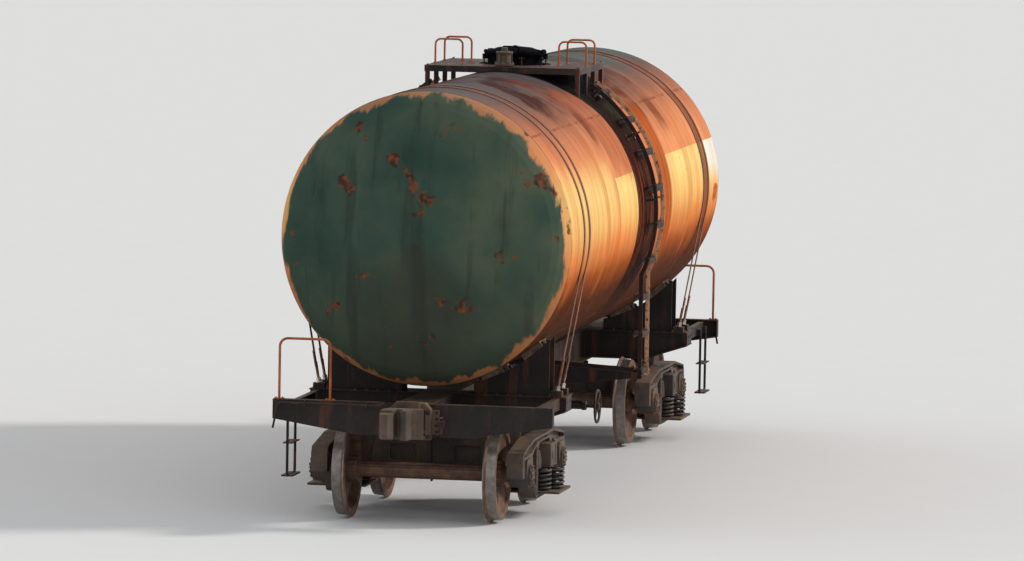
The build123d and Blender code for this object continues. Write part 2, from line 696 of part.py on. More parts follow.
def strap(x):
    """A band over the tank that leaves it on a tangent each side and ends in a threaded rod."""
    inner, outer = BARREL_RADIUS + SEAT_GAP, BARREL_RADIUS + SEAT_GAP + STRAP_THICKNESS
    drop = SILL_TOP + ANCHOR_HEIGHT - AXIS_Z
    reach = hypot(ANCHOR_Y, drop)
    leave = atan2(drop, ANCHOR_Y) + acos(inner / reach)
    y, z = inner * cos(leave), inner * sin(leave)
    run = hypot(ANCHOR_Y - y, drop - z)
    down = ((ANCHOR_Y - y) / run, (drop - z) / run)
    flat, lap = run - 160, 6.0
    out = (STRAP_THICKNESS * cos(leave), STRAP_THICKNESS * sin(leave))
    ends = []
    for side in (1, -1):
        points = [(y, z), (y + out[0], z + out[1])]
        foot = [(py + down[0] * flat, pz + down[1] * flat) for py, pz in reversed(points)]
        points = [(py - down[0] * lap, pz - down[1] * lap) for py, pz in points] + foot
        tail = [(side * py, AXIS_Z + pz) for py, pz in points]
        ends.append(along_x(tail, x - STRAP_WIDTH / 2, x + STRAP_WIDTH / 2))
        middle = STRAP_THICKNESS / 2
        start = (y + out[0] / 2 + down[0] * (flat - 60), z + out[1] / 2 + down[1] * (flat - 60))
        stop = (y + out[0] / 2 + down[0] * (run + 20), z + out[1] / 2 + down[1] * (run + 20))
        rod = bar((x, side * start[0], AXIS_Z + start[1]), (x, side * stop[0], AXIS_Z + stop[1]), 15)
        ends.append(rod - anchor_block(x, side * ANCHOR_Y))
    ring = barrel_cylinder(outer, STRAP_WIDTH / 2, x) - barrel_cylinder(inner, STRAP_WIDTH, x)
    beyond = 2 * outer
    over = block((x - STRAP_WIDTH, x + STRAP_WIDTH), (-beyond, beyond), (AXIS_Z + z, AXIS_Z + beyond))
    band = ring & over
    for end in ends:
        band = band + end
    return band


def centre_foot(x):
    """A bracket that ties the tank's belly to the centre sill: base, three gussets and a curved pad."""
    inner, outer = 110.0, 330.0
    whole = block((x - 150, x + 150), (inner, outer), (SILL_TOP, SILL_TOP + 20))
    clear = barrel_cylinder(BARREL_RADIUS + SEAT_GAP + STEEL / 2, 400, x)
    top = AXIS_Z - BARREL_RADIUS * cos(asin(outer / BARREL_RADIUS))
    for gx in (x - 120, x, x + 120):
        gusset = block((gx - 6, gx + 6), (inner + 10, outer - 10), (SILL_TOP, top))
        whole = whole + (gusset - clear)
    low, high = degrees(atan2(inner - 10, BARREL_RADIUS)), degrees(atan2(outer + 15, BARREL_RADIUS))
    seat = BARREL_RADIUS + SEAT_GAP
    return whole + sector(seat, seat + STEEL, (low + high) / 2, (high - low) / 2, 150, x)


# Tank


def head_profile(radius, depth, knuckle):
    """Crown radius, and the point where the knuckle's arc meets the crown's."""
    crown = (depth**2 + (radius - knuckle) ** 2 - knuckle**2) / (2 * (depth - knuckle))
    angle = atan2(radius - knuckle, sqrt((crown - knuckle) ** 2 - (radius - knuckle) ** 2))
    return crown, angle


def tank_head():
    """A dished end for +x: a knuckle and a crown, turned about the tank's axis and hollowed."""
    skins = []
    for radius, depth, knuckle, steps in (
        (BARREL_RADIUS, HEAD_DEPTH, KNUCKLE_RADIUS, (KNUCKLE_STEPS, CROWN_STEPS)),
        (INNER_RADIUS, HEAD_DEPTH - WALL, KNUCKLE_RADIUS - WALL, (INNER_STEPS, INNER_STEPS)),
    ):
        crown, meet = head_profile(radius, depth, knuckle)
        points = [(BARREL_HALF, 0)]
        for n in range(steps[0] + 1):
            turn = radians(90) + (meet - radians(90)) * n / steps[0]
            points.append((BARREL_HALF + knuckle * cos(turn), radius - knuckle + knuckle * sin(turn)))
        for n in range(1, steps[1] + 1):
            turn = meet * (1 - n / steps[1])
            points.append((BARREL_HALF + depth - crown + crown * cos(turn), crown * sin(turn)))
        skins.append(turned_x(points))
    return Pos(0, 0, AXIS_Z) * (skins[0] - skins[1])


def sheet(middle_angle):
    """One of the four long plates of the barrel, a quarter of the round."""
    return sector(INNER_RADIUS, BARREL_RADIUS, middle_angle, 90 - SEAM_ANGLE, BARREL_HALF)


def hatch_neck():
    """The manhole's collar, its flange, the hinge ears with their pin, and lugs for the eye bolts."""
    low = AXIS_Z + sqrt(INNER_RADIUS**2 - NECK_RADIUS**2) - 8
    neck = upright(0, 0, low, NECK_TOP, NECK_RADIUS)
    neck = neck + upright(0, 0, NECK_TOP - 15, NECK_TOP, NECK_RADIUS + NECK_FLANGE)
    reach = NECK_RADIUS + NECK_FLANGE
    for n in range(EYE_BOLTS):
        turn = Rot(0, 0, 360 / EYE_BOLTS * (n + 0.5))
        for side in (-18, 18):
            width = (side - 5, side + 5)
            lug = block((NECK_RADIUS - 4, reach + 22), width, (NECK_TOP - 70, NECK_TOP - 15))
            neck = neck + turn * lug
    ear = [
        (NECK_RADIUS, NECK_TOP - 15),
        (HATCH_PIN_X + 22, NECK_TOP - 15),
        (HATCH_PIN_X + 22, HATCH_PIN_Z + 20),
        (LID_RADIUS + 12, HATCH_PIN_Z + 20),
        (LID_RADIUS + 12, NECK_TOP),
        (NECK_RADIUS, NECK_TOP),
    ]
    for side in (-62, 62):
        neck = neck + along_y(ear, side - 6, side + 6)
    neck = neck - upright(0, 0, low - 1, NECK_TOP + 60, MANHOLE_RADIUS)
    return neck + bar((HATCH_PIN_X, -75, HATCH_PIN_Z), (HATCH_PIN_X, 75, HATCH_PIN_Z), HATCH_PIN_RADIUS)


def hatch_lid():
    """The dished lid, notched for its eye bolts, with its hinge knuckle and a lifting handle."""
    low = NECK_TOP + SEAT_GAP
    rim = low + LID_THICKNESS
    lid = turned_z(
        [
            (0, low),
            (LID_RADIUS, low),
            (LID_RADIUS, rim),
            (LID_RADIUS - 60, rim),
            (LID_RADIUS * 0.55, rim + LID_DOME * 0.75),
            (LID_RADIUS * 0.2, rim + LID_DOME),
            (0, rim + LID_DOME),
        ]
    )
    notch = block((LID_RADIUS - 30, LID_RADIUS + 30), (-12, 12), (low - 1, rim + 40))
    for n in range(EYE_BOLTS):
        lid = lid - Rot(0, 0, 360 / EYE_BOLTS * (n + 0.5)) * notch
    arm = block((LID_RADIUS - 60, HATCH_PIN_X), (-50, 50), (low + 4, rim + 8))
    knuckle = bar((HATCH_PIN_X, -50, HATCH_PIN_Z), (HATCH_PIN_X, 50, HATCH_PIN_Z), 24)
    grip, foot, top = 70 - LID_RADIUS, low + 15, rim + 55
    handle = bent_bar([(grip, -90, foot), (grip, -90, top), (grip, 90, top), (grip, 90, foot)], 9, 15)
    lid = lid + arm + knuckle + handle
    pin = Pos(HATCH_PIN_X, 0, HATCH_PIN_Z) * Rot(90, 0, 0) * Cylinder(HATCH_PIN_RADIUS + PIN_GAP, 160)
    return lid - pin


def safety_valve():
    """The relief valve on the tank's crown: flanged stub, body, bonnet and a spindle cap."""
    profile = [
        (0, -12),
        (60, -12),
        (60, 60),
        (VALVE_FLANGE_RADIUS, 60),
        (VALVE_FLANGE_RADIUS, 82),
        (72, 82),
        (72, 190),
        (92, 190),
        (92, 206),
        (34, 212),
        (34, 250),
        (0, 250),
    ]
    valve = Pos(VALVE_X, 0, BARREL_TOP) * turned_z(profile)
    return valve - barrel_cylinder(BARREL_RADIUS + SEAT_GAP, 2 * VALVE_FLANGE_RADIUS, VALVE_X)


def platform():
    """The walkway round the manhole: a plate with a turned-down rim on short legs to the tank."""
    lip = DECK_THICKNESS
    deck = block((-DECK_HALF_X, DECK_HALF_X), (-DECK_HALF_Y, DECK_HALF_Y), (DECK_Z - DECK_RIM, DECK_Z + lip))
    inside_x, inside_y = DECK_HALF_X - lip, DECK_HALF_Y - lip
    deck = deck - block((-inside_x, inside_x), (-inside_y, inside_y), (DECK_Z - DECK_RIM, DECK_Z))
    for x, radius in ((0, DECK_HOLE), (VALVE_X, VALVE_FLANGE_RADIUS + 13)):
        deck = deck - upright(0, x, DECK_Z - DECK_RIM, DECK_Z + lip, radius)
    edge, leg_y = DECK_HALF_X - DECK_LEG_INSET, DECK_HALF_Y - DECK_LEG_INSET
    low = AXIS_Z + sqrt(BARREL_RADIUS**2 - leg_y**2) - 60
    for x in (-edge, -edge / 3, edge / 3, edge):
        for y in (-leg_y, leg_y):
            deck = deck + block((x - 25, x + 25), (y - 22, y + 22), (low, DECK_Z))
    return deck - barrel_cylinder(BARREL_RADIUS + SEAT_GAP, 3 * DECK_HALF_X)


def grab_rails():
    """A hoop each side of the ladder's head, standing on the platform's edge on the +y side."""
    rails = []
    near, far = DECK_HALF_Y - 20, DECK_HALF_Y - 20 - GRAB_DEPTH
    low = DECK_Z + DECK_THICKNESS
    high = low + GRAB_RISE
    for x in (-LADDER_GAUGE / 2 - 35, LADDER_GAUGE / 2 + 35):
        corners = [(x, near, low), (x, near, high), (x, far, high), (x, far, low)]
        rails.append(bent_bar(corners, GRAB_RADIUS, 40))
    return rails


def ladder():
    """The ladder on the +y side: flat stringers that stand upright at the foot and then follow the
    tank, plate treads between them, and brackets that stand it off the barrel."""
    inner, outer = LADDER_RADIUS - STRINGER_DEPTH / 2, LADDER_RADIUS + STRINGER_DEPTH / 2
    low, high = radians(LADDER_LOW_ANGLE), radians(LADDER_HIGH_ANGLE)
    middle = (low + high) / 2
    foot_y = inner * cos(low)
    foot_in, foot_out = (foot_y, LADDER_FOOT_Z), (foot_y + STRINGER_DEPTH, LADDER_FOOT_Z)
    knee_out = (foot_y + STRINGER_DEPTH, round_tank(outer, low)[1])
    edge = [
        Line(foot_in, round_tank(inner, low)),
        ThreePointArc(*[round_tank(inner, angle) for angle in (low, middle, high)]),
        Line(round_tank(inner, high), round_tank(outer, high)),
        ThreePointArc(*[round_tank(outer, angle) for angle in (high, middle, low)]),
        Line(round_tank(outer, low), knee_out),
        Line(knee_out, foot_out),
        Line(foot_out, foot_in),
    ]
    stringer = extrude(Plane.YZ * make_face(edge), STRINGER_THICKNESS, dir=(1, 0, 0))
    half = LADDER_GAUGE / 2
    whole = Pos(half - STRINGER_THICKNESS, 0, 0) * stringer + Pos(-half, 0, 0) * stringer
    treads = []
    z = LADDER_FOOT_Z + 100
    while z < round_tank(LADDER_RADIUS, low)[1]:
        treads.append((foot_y + STRINGER_DEPTH / 2, z))
        z += LADDER_STEP
    angle = asin((z - AXIS_Z) / LADDER_RADIUS)
    while angle < high:
        treads.append(round_tank(LADDER_RADIUS, angle))
        angle += LADDER_STEP / LADDER_RADIUS
    for y, z in treads:
        whole = whole + block((-half, half), (y - TREAD_DEPTH * 0.58, y + TREAD_DEPTH * 0.2), (z - 4, z + 4))
    for angle in [radians(bracket) for bracket in LADDER_BRACKETS]:
        seat, reach = round_tank(BARREL_RADIUS + SEAT_GAP, angle), round_tank(LADDER_RADIUS, angle)
        for x in (-half, half):
            whole = whole + bar((x, *seat), (x, *reach), 12)
    return whole


def outlet():
    """The bottom outlet: saddle flange on the tank, pipe through the sill, cap, yoke and screw."""
    top, foot = AXIS_Z - BARREL_RADIUS, OUTLET_FOOT_Z
    profile = [
        (0, top + 30),
        (OUTLET_FLANGE_RADIUS, top + 30),
        (OUTLET_FLANGE_RADIUS, top - 45),
        (OUTLET_RADIUS, top - 45),
        (OUTLET_RADIUS, foot + 22),
        (150, foot + 22),
        (150, foot),
        (122, foot),
        (122, foot - 40),
        (18, foot - 40),
        (18, foot - 190),
        (0, foot - 190),
    ]
    valve = turned_z(profile) - barrel_cylinder(BARREL_RADIUS + SEAT_GAP, 2 * OUTLET_FLANGE_RADIUS)
    for side in (-1, 1):
        valve = valve + block((-14, 14), (side * 160 - 12, side * 160 + 12), (foot - 110, foot + 30))
        valve = valve + block((-14, 14), (side * 135 - 37, side * 135 + 37), (foot + 8, foot + 22))
    valve = valve + block((-30, 30), (-172, 172), (foot - 125, foot - 95))
    return valve + block((-95, 95), (-9, 9), (foot - 185, foot - 167))


# Brake gear on the underframe


def pipe_run(radius):
    """The train pipe's run: beside the sill, then under it to the other side before the -x bolster."""
    end = FRAME_HALF + 60
    near, far = PIPE_CROSSING
    points = [
        (end, PIPE_Y, PIPE_Z),
        (near + 250, PIPE_Y, PIPE_Z),
        (near, PIPE_Y, PIPE_LOW_Z),
        (far, -PIPE_Y, PIPE_LOW_Z),
        (far - 250, -PIPE_Y, PIPE_Z),
        (-end, -PIPE_Y, PIPE_Z),
    ]
    return bent_bar(points, radius, 60)


def clear_of_pipe(shape):
    return shape - pipe_run(PIPE_RADIUS + 8)


def brake_pipe():
    """The train pipe with a cock at each end."""
    pipe = pipe_run(PIPE_RADIUS)
    cock = block((FRAME_HALF + 55, FRAME_HALF + 165), (PIPE_Y - 34, PIPE_Y + 34), (PIPE_Z - 34, PIPE_Z + 34))
    cock = cock + bar((FRAME_HALF + 120, PIPE_Y, PIPE_Z), (FRAME_HALF + 175, PIPE_Y, PIPE_Z - 90), 24)
    cock = cock + bar((FRAME_HALF + 100, PIPE_Y, PIPE_Z), (FRAME_HALF + 100, PIPE_Y, PIPE_Z + 70), 12)
    handle = block((FRAME_HALF + 88, FRAME_HALF + 250), (PIPE_Y - 9, PIPE_Y + 9), (PIPE_Z + 62, PIPE_Z + 76))
    cock = cock + handle
    whole = pipe
    for piece in both_ends([cock]):
        whole = whole + piece
    return whole


def brake_cylinder():
    """The brake cylinder on a bracket beside the sill, with its flanges and piston rod."""
    x, y, z = CYLINDER_X, CYLINDER_Y, CYLINDER_Z
    front = -CYLINDER_HALF
    profile = [
        (LEVER_X - x - 30, 0),
        (LEVER_X - x - 30, 32),
        (front - 100, 32),
        (front - 100, 70),
        (front - 32, 70),
        (front - 32, CYLINDER_RADIUS + 28),
        (front, CYLINDER_RADIUS + 28),
        (front, CYLINDER_RADIUS),
        (CYLINDER_HALF, CYLINDER_RADIUS),
        (CYLINDER_HALF + 25, CYLINDER_RADIUS - 40),
        (CYLINDER_HALF + 25, 0),
    ]
    whole = Pos(x, y, z) * turned_x(profile)
    whole = whole - upright(y, LEVER_X, z - 50, z + 50, LEVER_PIN_RADIUS + SEAT_GAP)
    shelf = SILL_TOP - 50
    whole = whole + block((x - 160, x + 160), (SILL_OUTER, y), (shelf, shelf + 14))
    for bx in (x - 160, x + 148):
        whole = whole + block((bx, bx + STEEL), (SILL_OUTER, y), (SILL_Z + STEEL, shelf + 14))
    return whole


def reservoir():
    """The air reservoir across the sill from the cylinder, in two saddle brackets."""
    x, y, z = RESERVOIR_X, RESERVOIR_Y, RESERVOIR_Z
    half, radius = 480.0, 155.0
    profile = [(half + 50, 0), (half + 50, radius * 0.6), (half, radius)]
    whole = Pos(x, y, z) * turned_x(profile + [(-along, out) for along, out in reversed(profile)])
    for bx in (x - 300, x + 300):
        whole = whole + block((bx - 25, bx + 25), (SILL_OUTER, y), (z - 60, z + 60))
        whole = whole + bar((bx - 25, y, z), (bx + 25, y, z), radius + 10)
    return whole


def distributor():
    """The air valve: a two-chamber casting on the sill with a body bolted to each end."""
    x, y, z = DISTRIBUTOR_X, DISTRIBUTOR_Y, DISTRIBUTOR_Z
    radius, half = 105.0, 320.0
    profile = [(half, 0), (half, radius + 20), (half - 20, radius + 20), (half - 20, radius)]
    whole = Pos(x, y, z) * turned_x(profile + [(-along, out) for along, out in reversed(profile)])
    whole = whole + block((x - 120, x + 120), (y - 60, -SILL_OUTER), (SILL_Z + STEEL, z + 130))
    return whole + bar((x - 70, y, z), (x - 70, y - 170, z), 60)


def brake_rigging():
    """Levers at the cylinder and the pull rods that run down towards both bogies in their guides."""
    z, x = LEVER_Z, LEVER_X
    far_y, near_y, bogie_y = -200.0, 80.0, 50.0
    lever = [
        (x - 20, CYLINDER_Y + 25),
        (x + 20, CYLINDER_Y + 25),
        (x + 45, 100),
        (x + 20, far_y - 25),
        (x - 20, far_y - 25),
        (x - 5, 100),
    ]
    pin = upright(CYLINDER_Y, x, z, CYLINDER_Z + 32, LEVER_PIN_RADIUS)
    whole = along_z(lever, z - 8, z + 8) + pin
    reach, edge = BOGIE_X - ROD_END_INSET, SILL_GAP / 2
    for start_x, start_y, end_x, end_y, guide_x in (
        (x, far_y, -reach, -bogie_y, -3050.0),
        (x + 20, near_y, reach, bogie_y, 2700.0),
    ):
        start, end = Vector(start_x, start_y, z + 20), Vector(end_x, end_y, ROD_END_Z)
        whole = whole + bar(start, end, ROD_RADIUS)
        whole = whole + upright(start_y, start_x, z - 10, z + 34, 14)
        whole = whole + upright(end_y, end_x, ROD_END_Z - 20, ROD_END_Z + 20, 16)
        low = start.Z + (end.Z - start.Z) * (guide_x - start_x) / (end_x - start_x) - ROD_RADIUS - STEEL
        whole = whole + block((guide_x - 15, guide_x + 15), (-edge - 12, edge + 12), (low, low + STEEL))
        for y in (-edge - 6, edge + 6):
            whole = whole + block((guide_x - 15, guide_x + 15), (y - 6, y + 6), (low, SILL_Z))
    return whole


def handbrake():
    """The parking brake: a spoked wheel on the -y side, its shaft and the bracket on the sill."""
    x, y, z = HANDBRAKE_X, HANDBRAKE_Y, HANDBRAKE_Z
    rim = 13.0
    ring = [(HANDWHEEL_RADIUS + rim * cos(radians(a)), rim * sin(radians(a))) for a in range(0, 360, 60)]
    whole = Pos(x, y, z) * Rot(90, 0, 0) * turned_z(ring)
    whole = whole + bar((x, y - 25, z), (x, -SILL_OUTER, z), 19)
    whole = whole + bar((x, y - 22, z), (x, y + 22, z), 38)
    for n in range(4):
        a = radians(45 + 90 * n)
        end = (x + HANDWHEEL_RADIUS * cos(a), y, z + HANDWHEEL_RADIUS * sin(a))
        whole = whole + bar((x, y, z), end, 9)
    face, back = y + 120, y + 160
    arm = [(-SILL_OUTER, z + 70), (face, z + 50), (face, z - 40), (back, z - 40), (-SILL_OUTER, z - 47)]
    return whole + along_x(arm, x + 40, x + 52) + block((x - 45, x + 52), (face, back), (z - 40, z + 50))


# Ends of the car


def striker_opening(low, high):
    return block(
        (low, high), (-STRIKER_HALF, STRIKER_HALF), (COUPLER_Z - STRIKER_LOW, COUPLER_Z + STRIKER_HIGH)
    )


def striker():
    """The striker casting round the coupler's shank on the +x end beam, open for its swing."""
    front, back = FRAME_HALF + STRIKER_DEPTH, FRAME_HALF
    half = [(215, COUPLER_Z - 190), (215, COUPLER_Z + 120), (150, COUPLER_Z + 185)]
    whole = along_x(both_ways(half), back, front)
    whole = whole + block((back, back + 16), (-290, 290), (COUPLER_Z - 140, COUPLER_Z + 110))
    hole = bar((back - 1, PIPE_Y, PIPE_Z), (back + 30, PIPE_Y, PIPE_Z), PIPE_RADIUS + 6)
    return whole - striker_opening(back - 1, front + 1) - hole


def centring_beam():
    """The cross piece that carries the shank, hung on two pendulum rods inside the striker."""
    x = FRAME_HALF + STRIKER_DEPTH - 45
    low = COUPLER_Z - SHANK_HEIGHT / 2 - SEAT_GAP
    half = STRIKER_HALF - 3
    beam = block((x - 32, x + 32), (-half, half), (low - 38, low))
    for y in (11 - half, half - 11):
        beam = beam + upright(y, x, low - 10, COUPLER_Z + STRIKER_HIGH - 0.5, 9)
    return beam


def coupler():
    """An automatic coupler for the +x end. Its head is drawn in plan about the coupling plane: the
    large tooth on one side, the small tooth on the other, and the throat between them with the lock
    in it. A shank with a rounded tail turns about the yoke key."""
    face, z = COUPLER_FACE_X, COUPLER_Z
    stop = face - HEAD_LENGTH
    half = COUPLER_HALF_HEIGHT
    large_tooth = [(-190, -205), (20, -205), (115, -190), (160, -150), (160, -95), (110, -60), (60, -55)]
    throat = [(10, -85), (-130, -85), (-165, -60), (-165, -10), (-100, 0), (-60, 20), (-10, -5)]
    small_tooth = [(0, 10), (0, 60), (-20, 75), (-165, 90), (-185, 130), (-190, 205)]
    neck = [(-330, 160), (-HEAD_LENGTH, 95), (-HEAD_LENGTH, -95), (-330, -160)]
    plan = large_tooth + throat + small_tooth + neck
    whole = along_z([(face + x, y) for x, y in plan], z - half, z + half)
    for start, end in ((half - 25, half + 10), (-half - 10, 25 - half)):
        whole = whole - block((stop - 1, stop + 130), (-250, 250), (z + start, z + end))
        whole = whole - block((face - 20, face + 200), (-250, -40), (z + start, z + end))
    whole = whole + block((stop - 25, stop + 20), (-120, 120), (z - 60, z + 205))
    whole = whole + block((face - 165, face - 45), (-28, 0), (z - 90, z + 90))
    width, height = SHANK_WIDTH / 2, SHANK_HEIGHT / 2
    whole = whole + block((COUPLER_PIVOT_X, stop + 5), (-width, width), (z - height, z + height))
    whole = whole + upright(0, COUPLER_PIVOT_X, z - height, z + height, width)
    return whole - upright(0, COUPLER_PIVOT_X, z - 300, z + 300, COUPLER_HOLE_RADIUS)


def draft_gear():
    """Yoke, key and draft gear in the +x end of the sill, seen from below."""
    z, x = COUPLER_Z, COUPLER_PIVOT_X
    reach = SHANK_HEIGHT / 2 + 6
    outer = reach + YOKE_THICKNESS
    back = x - YOKE_LENGTH
    inside = back + YOKE_BACK
    yoke = block((back, x + 75), (-70, 70), (z + reach, z + outer))
    yoke = yoke + block((back, x + 75), (-70, 70), (z - outer, z - reach))
    yoke = yoke + block((back, inside), (-70, 70), (z - outer, z + outer))
    gear = bar((inside, 0, z), (x - 260, 0, z), 92) + block((x - 320, x - 90), (-118, 118), (z - 90, z + 90))
    key = upright(0, x, z - reach - 40, z + outer, COUPLER_HOLE_RADIUS - PIN_GAP)
    stops = []
    for near, far in ((x - 90, x - 40), (back - 80, back - 1)):
        for side in (-1, 1):
            inner, outer = 128 * side, SILL_GAP / 2 * side
            stops.append(block((near, far), sorted((inner, outer)), (z - 130, z + 90)))
    return [yoke + gear + key, *stops]


def uncoupling_lever():
    """The rod across the +x end that lifts the coupler's lock, in two brackets, with its handle."""
    x, z = FRAME_HALF + 70, SILL_TOP - 20
    points = [
        (x, -END_BEAM_HALF + 20, z - LEVER_HANDLE_DROP),
        (x, -END_BEAM_HALF + 70, z),
        (x, LEVER_BRACKETS[1] + 120, z),
        (x + 90, LEVER_BRACKETS[1] + 200, z + 30),
    ]
    rod = bent_bar(points, 11, 25)
    for y in LEVER_BRACKETS:
        rod = rod + block((FRAME_HALF, x + 16), (y - 5, y + 5), (z - 22, z + 22))
    return rod


def corner_step():
    """The shunter's step under the side beam at one corner of the +x end: a bent frame, two treads and
    the lugs that bolt it to the beam."""
    y, top = -SIDE_BEAM_Y - 40, SILL_TOP - 60
    x0, x1 = FRAME_HALF - STEP_BACK, FRAME_HALF - STEP_FRONT
    step = bent_bar([(x0, y, top), (x0, y, STEP_Z), (x1, y, STEP_Z), (x1, y, top)], 14, 25)
    step = step + block((x0, x1), (y - 60, y + 60), (STEP_Z - 8, STEP_Z + 8))
    step = step + block((x0, x1), (y - 50, y + 50), (STEP_Z + STEP_PITCH, STEP_Z + STEP_PITCH + 12))
    for x in (x0, x1):
        step = step + block((x - 20, x + 20), (y - 5, -SIDE_BEAM_Y), (top - 70, top))
    return step


def end_rail():
    """The bent handrail on top of the +x end beam beside the tank's head."""
    x, low = FRAME_HALF - 40, SILL_TOP + END_BEAM_RISE
    y, high = -END_BEAM_HALF + 60, low + RAIL_RISE
    corners = [(x, y, low), (x, y, high), (x, -RAIL_INNER_Y, high), (x, -RAIL_INNER_Y, low)]
    return bent_bar(corners, RAIL_RADIUS, 50)


def ladder_bracket():
    """The bracket that carries both feet of the +y ladder from the centre sill."""
    foot_y = (LADDER_RADIUS - STRINGER_DEPTH / 2) * cos(radians(LADDER_LOW_ANGLE))
    half, low, high = LADDER_GAUGE / 2, LADDER_FOOT_Z + 10, LADDER_FOOT_Z + 70
    arm = [(SILL_OUTER, SILL_TOP - 20), (SILL_OUTER, SILL_Z + STEEL), (foot_y, low), (foot_y, high)]
    whole = block((-half - 10, half + 10), (foot_y - 12, foot_y), (low, high))
    return whole + along_x(arm, -half - 10, -half) + along_x(arm, half, half + 10)


def make_all():
    wheels = [Pos(0, 0, AXLE_Z) * wheel(), Pos(0, 0, AXLE_Z) * mirror(wheel(), Plane.XZ)]
    bare_axle = Pos(0, 0, AXLE_Z) * axle()
    places = {"a": BOGIE_X, "b": -BOGIE_X}
    for bogie, x in places.items():
        for n, offset in ((1, WHEELBASE / 2), (2, -WHEELBASE / 2)):
            save(f"wheels_{bogie}{n}", [Pos(x + offset, 0, 0) * w for w in wheels])
            save(f"axle_{bogie}{n}", Pos(x + offset, 0, 0) * bare_axle)
    beam = brake_beam()
    brake_gear = beam + mirror(beam, Plane.YZ) + brake_levers()
    bogie_pieces = {
        "bolster": [bogie_bolster()],
        "side_frames": both_sides([side_frame()]),
        "axleboxes": both_sides([axlebox(WHEELBASE / 2), axlebox(-WHEELBASE / 2)]),
        "springs": both_sides(springs()),
        "wedges": both_sides(wedges()),
        "brake_gear": [brake_gear],
    }
    for bogie, x in places.items():
        for name, shapes in bogie_pieces.items():
            save(f"bogie_{bogie}_{name}", [Pos(x, 0, 0) * shape for shape in shapes])

    hole = upright(0, 0, AXIS_Z, BARREL_TOP + 100, NECK_RADIUS + SEAT_GAP)
    save("tank_bottom_sheet", sheet(0))
    save("tank_side_sheets", [sheet(90), sheet(-90)])
    save("tank_top_sheet", sheet(180) - hole)
    save("tank_heads", both_ends([tank_head()]))
    save("hatch_neck", hatch_neck())
    save("hatch_lid", hatch_lid())
    save("safety_valve", safety_valve())
    save("platform", platform())
    save("ladders", both_sides([ladder()]))
    save("outlet_valve", outlet())

    save("centre_sill", centre_sill())
    save("body_bolsters", [clear_of_pipe(s) for s in both_ends([Pos(BOGIE_X, 0, 0) * body_bolster()])])
    save("end_beams", both_ends([end_beam()]))
    save("side_beams", all_corners([side_beams()]))
    save("tank_cradles", all_corners(cradles()))
    save("timber_pads", all_corners(pads()))
    save("tank_straps", both_ends([strap(BOGIE_X - STRAP_OFFSET), strap(BOGIE_X + STRAP_OFFSET)]))
    save("centre_feet", all_corners([centre_foot(CENTRE_FOOT_X)]))
    save("ladder_brackets", [clear_of_pipe(s) for s in both_sides([ladder_bracket()])])

    save("brake_pipe", brake_pipe())
    save("brake_cylinder", clear_of_pipe(brake_cylinder()))
    save("air_reservoir", clear_of_pipe(reservoir()))
    save("air_distributor", distributor())
    save("brake_rigging", brake_rigging())
    save("handbrake", clear_of_pipe(handbrake()))

    save("coupler_a", coupler())
    save("coupler_b", Rot(0, 0, 180) * coupler())
    save("strikers", both_ends([striker()]))
    save("centring_beams", both_ends([centring_beam()]))
    save("draft_gears", both_ends(draft_gear()))
    save("uncoupling_levers", both_ends([uncoupling_lever()]))
    save("corner_steps", both_ends([corner_step()]))
    save("handrails", both_ends([end_rail()]) + both_sides(grab_rails()))


make_all()
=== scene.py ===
from itertools import product
from math import acos, asin, atan2, cos, hypot, pi, radians, sin, sqrt, tan

import bmesh
import bpy
from mathutils import Matrix, Vector


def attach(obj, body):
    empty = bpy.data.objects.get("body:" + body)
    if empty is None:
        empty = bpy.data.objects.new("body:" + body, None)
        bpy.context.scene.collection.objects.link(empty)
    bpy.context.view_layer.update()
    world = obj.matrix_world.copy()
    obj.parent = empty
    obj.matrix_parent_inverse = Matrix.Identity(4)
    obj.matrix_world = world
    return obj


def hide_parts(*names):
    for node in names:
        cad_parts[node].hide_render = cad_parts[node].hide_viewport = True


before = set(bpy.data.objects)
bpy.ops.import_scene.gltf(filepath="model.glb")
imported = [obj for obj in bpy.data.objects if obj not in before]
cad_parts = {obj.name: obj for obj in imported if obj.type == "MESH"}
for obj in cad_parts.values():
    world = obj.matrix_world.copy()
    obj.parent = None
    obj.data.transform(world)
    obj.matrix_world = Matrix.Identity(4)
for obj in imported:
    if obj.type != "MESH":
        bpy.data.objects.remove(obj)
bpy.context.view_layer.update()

# Places and sizes shared with the solids
AXIS_Z = 2.888
BARREL_RADIUS = 1.510
BARREL_HALF = 4.785
BARREL_TOP = AXIS_Z + BARREL_RADIUS
SEAM_ANGLE = radians(45)
NECK_RADIUS = 0.297
NECK_TOP = 4.568
EYE_BOLTS = 8
VALVE_X = -0.620
DECK_TOP = 4.448
DECK_HALF_X, DECK_HALF_Y = 0.760, 0.850
DECK_HOLE = 0.395
GRAB_Y, GRAB_DEPTH, GRAB_TOP = 0.830, 0.300, 4.708
SILL_TOP = 1.243
COUPLER_Z = 1.088
FRAME_HALF = 5.400
BOGIE_X = 3.900
AXLE_OFFSET = 0.925
AXLE_Z = 0.5065
TREAD_RADIUS = 0.4785
JOURNAL_Y = 1.018
SPRING_SEAT_Z = 0.273
SPRING_HEIGHT = 0.232
SPRING_PITCH = 0.205
ANCHOR_Y, ANCHOR_TOP = 1.24974, 1.303
BOLSTER_END_Y = 1.3497
BOGIE_BOLSTER_Y, BOGIE_BOLSTER_Z = 1.193, 0.6265
STRAP_PLACES = (3.745, 4.055)
STRAP_THICKNESS = 0.008
PAD_THICKNESS = 0.060
LADDER_RADIUS = 1.620
LADDER_STEP = 0.400
LADDER_FOOT_Z = 1.080
LADDER_LOW, LADDER_HIGH = radians(-25), radians(57.5)
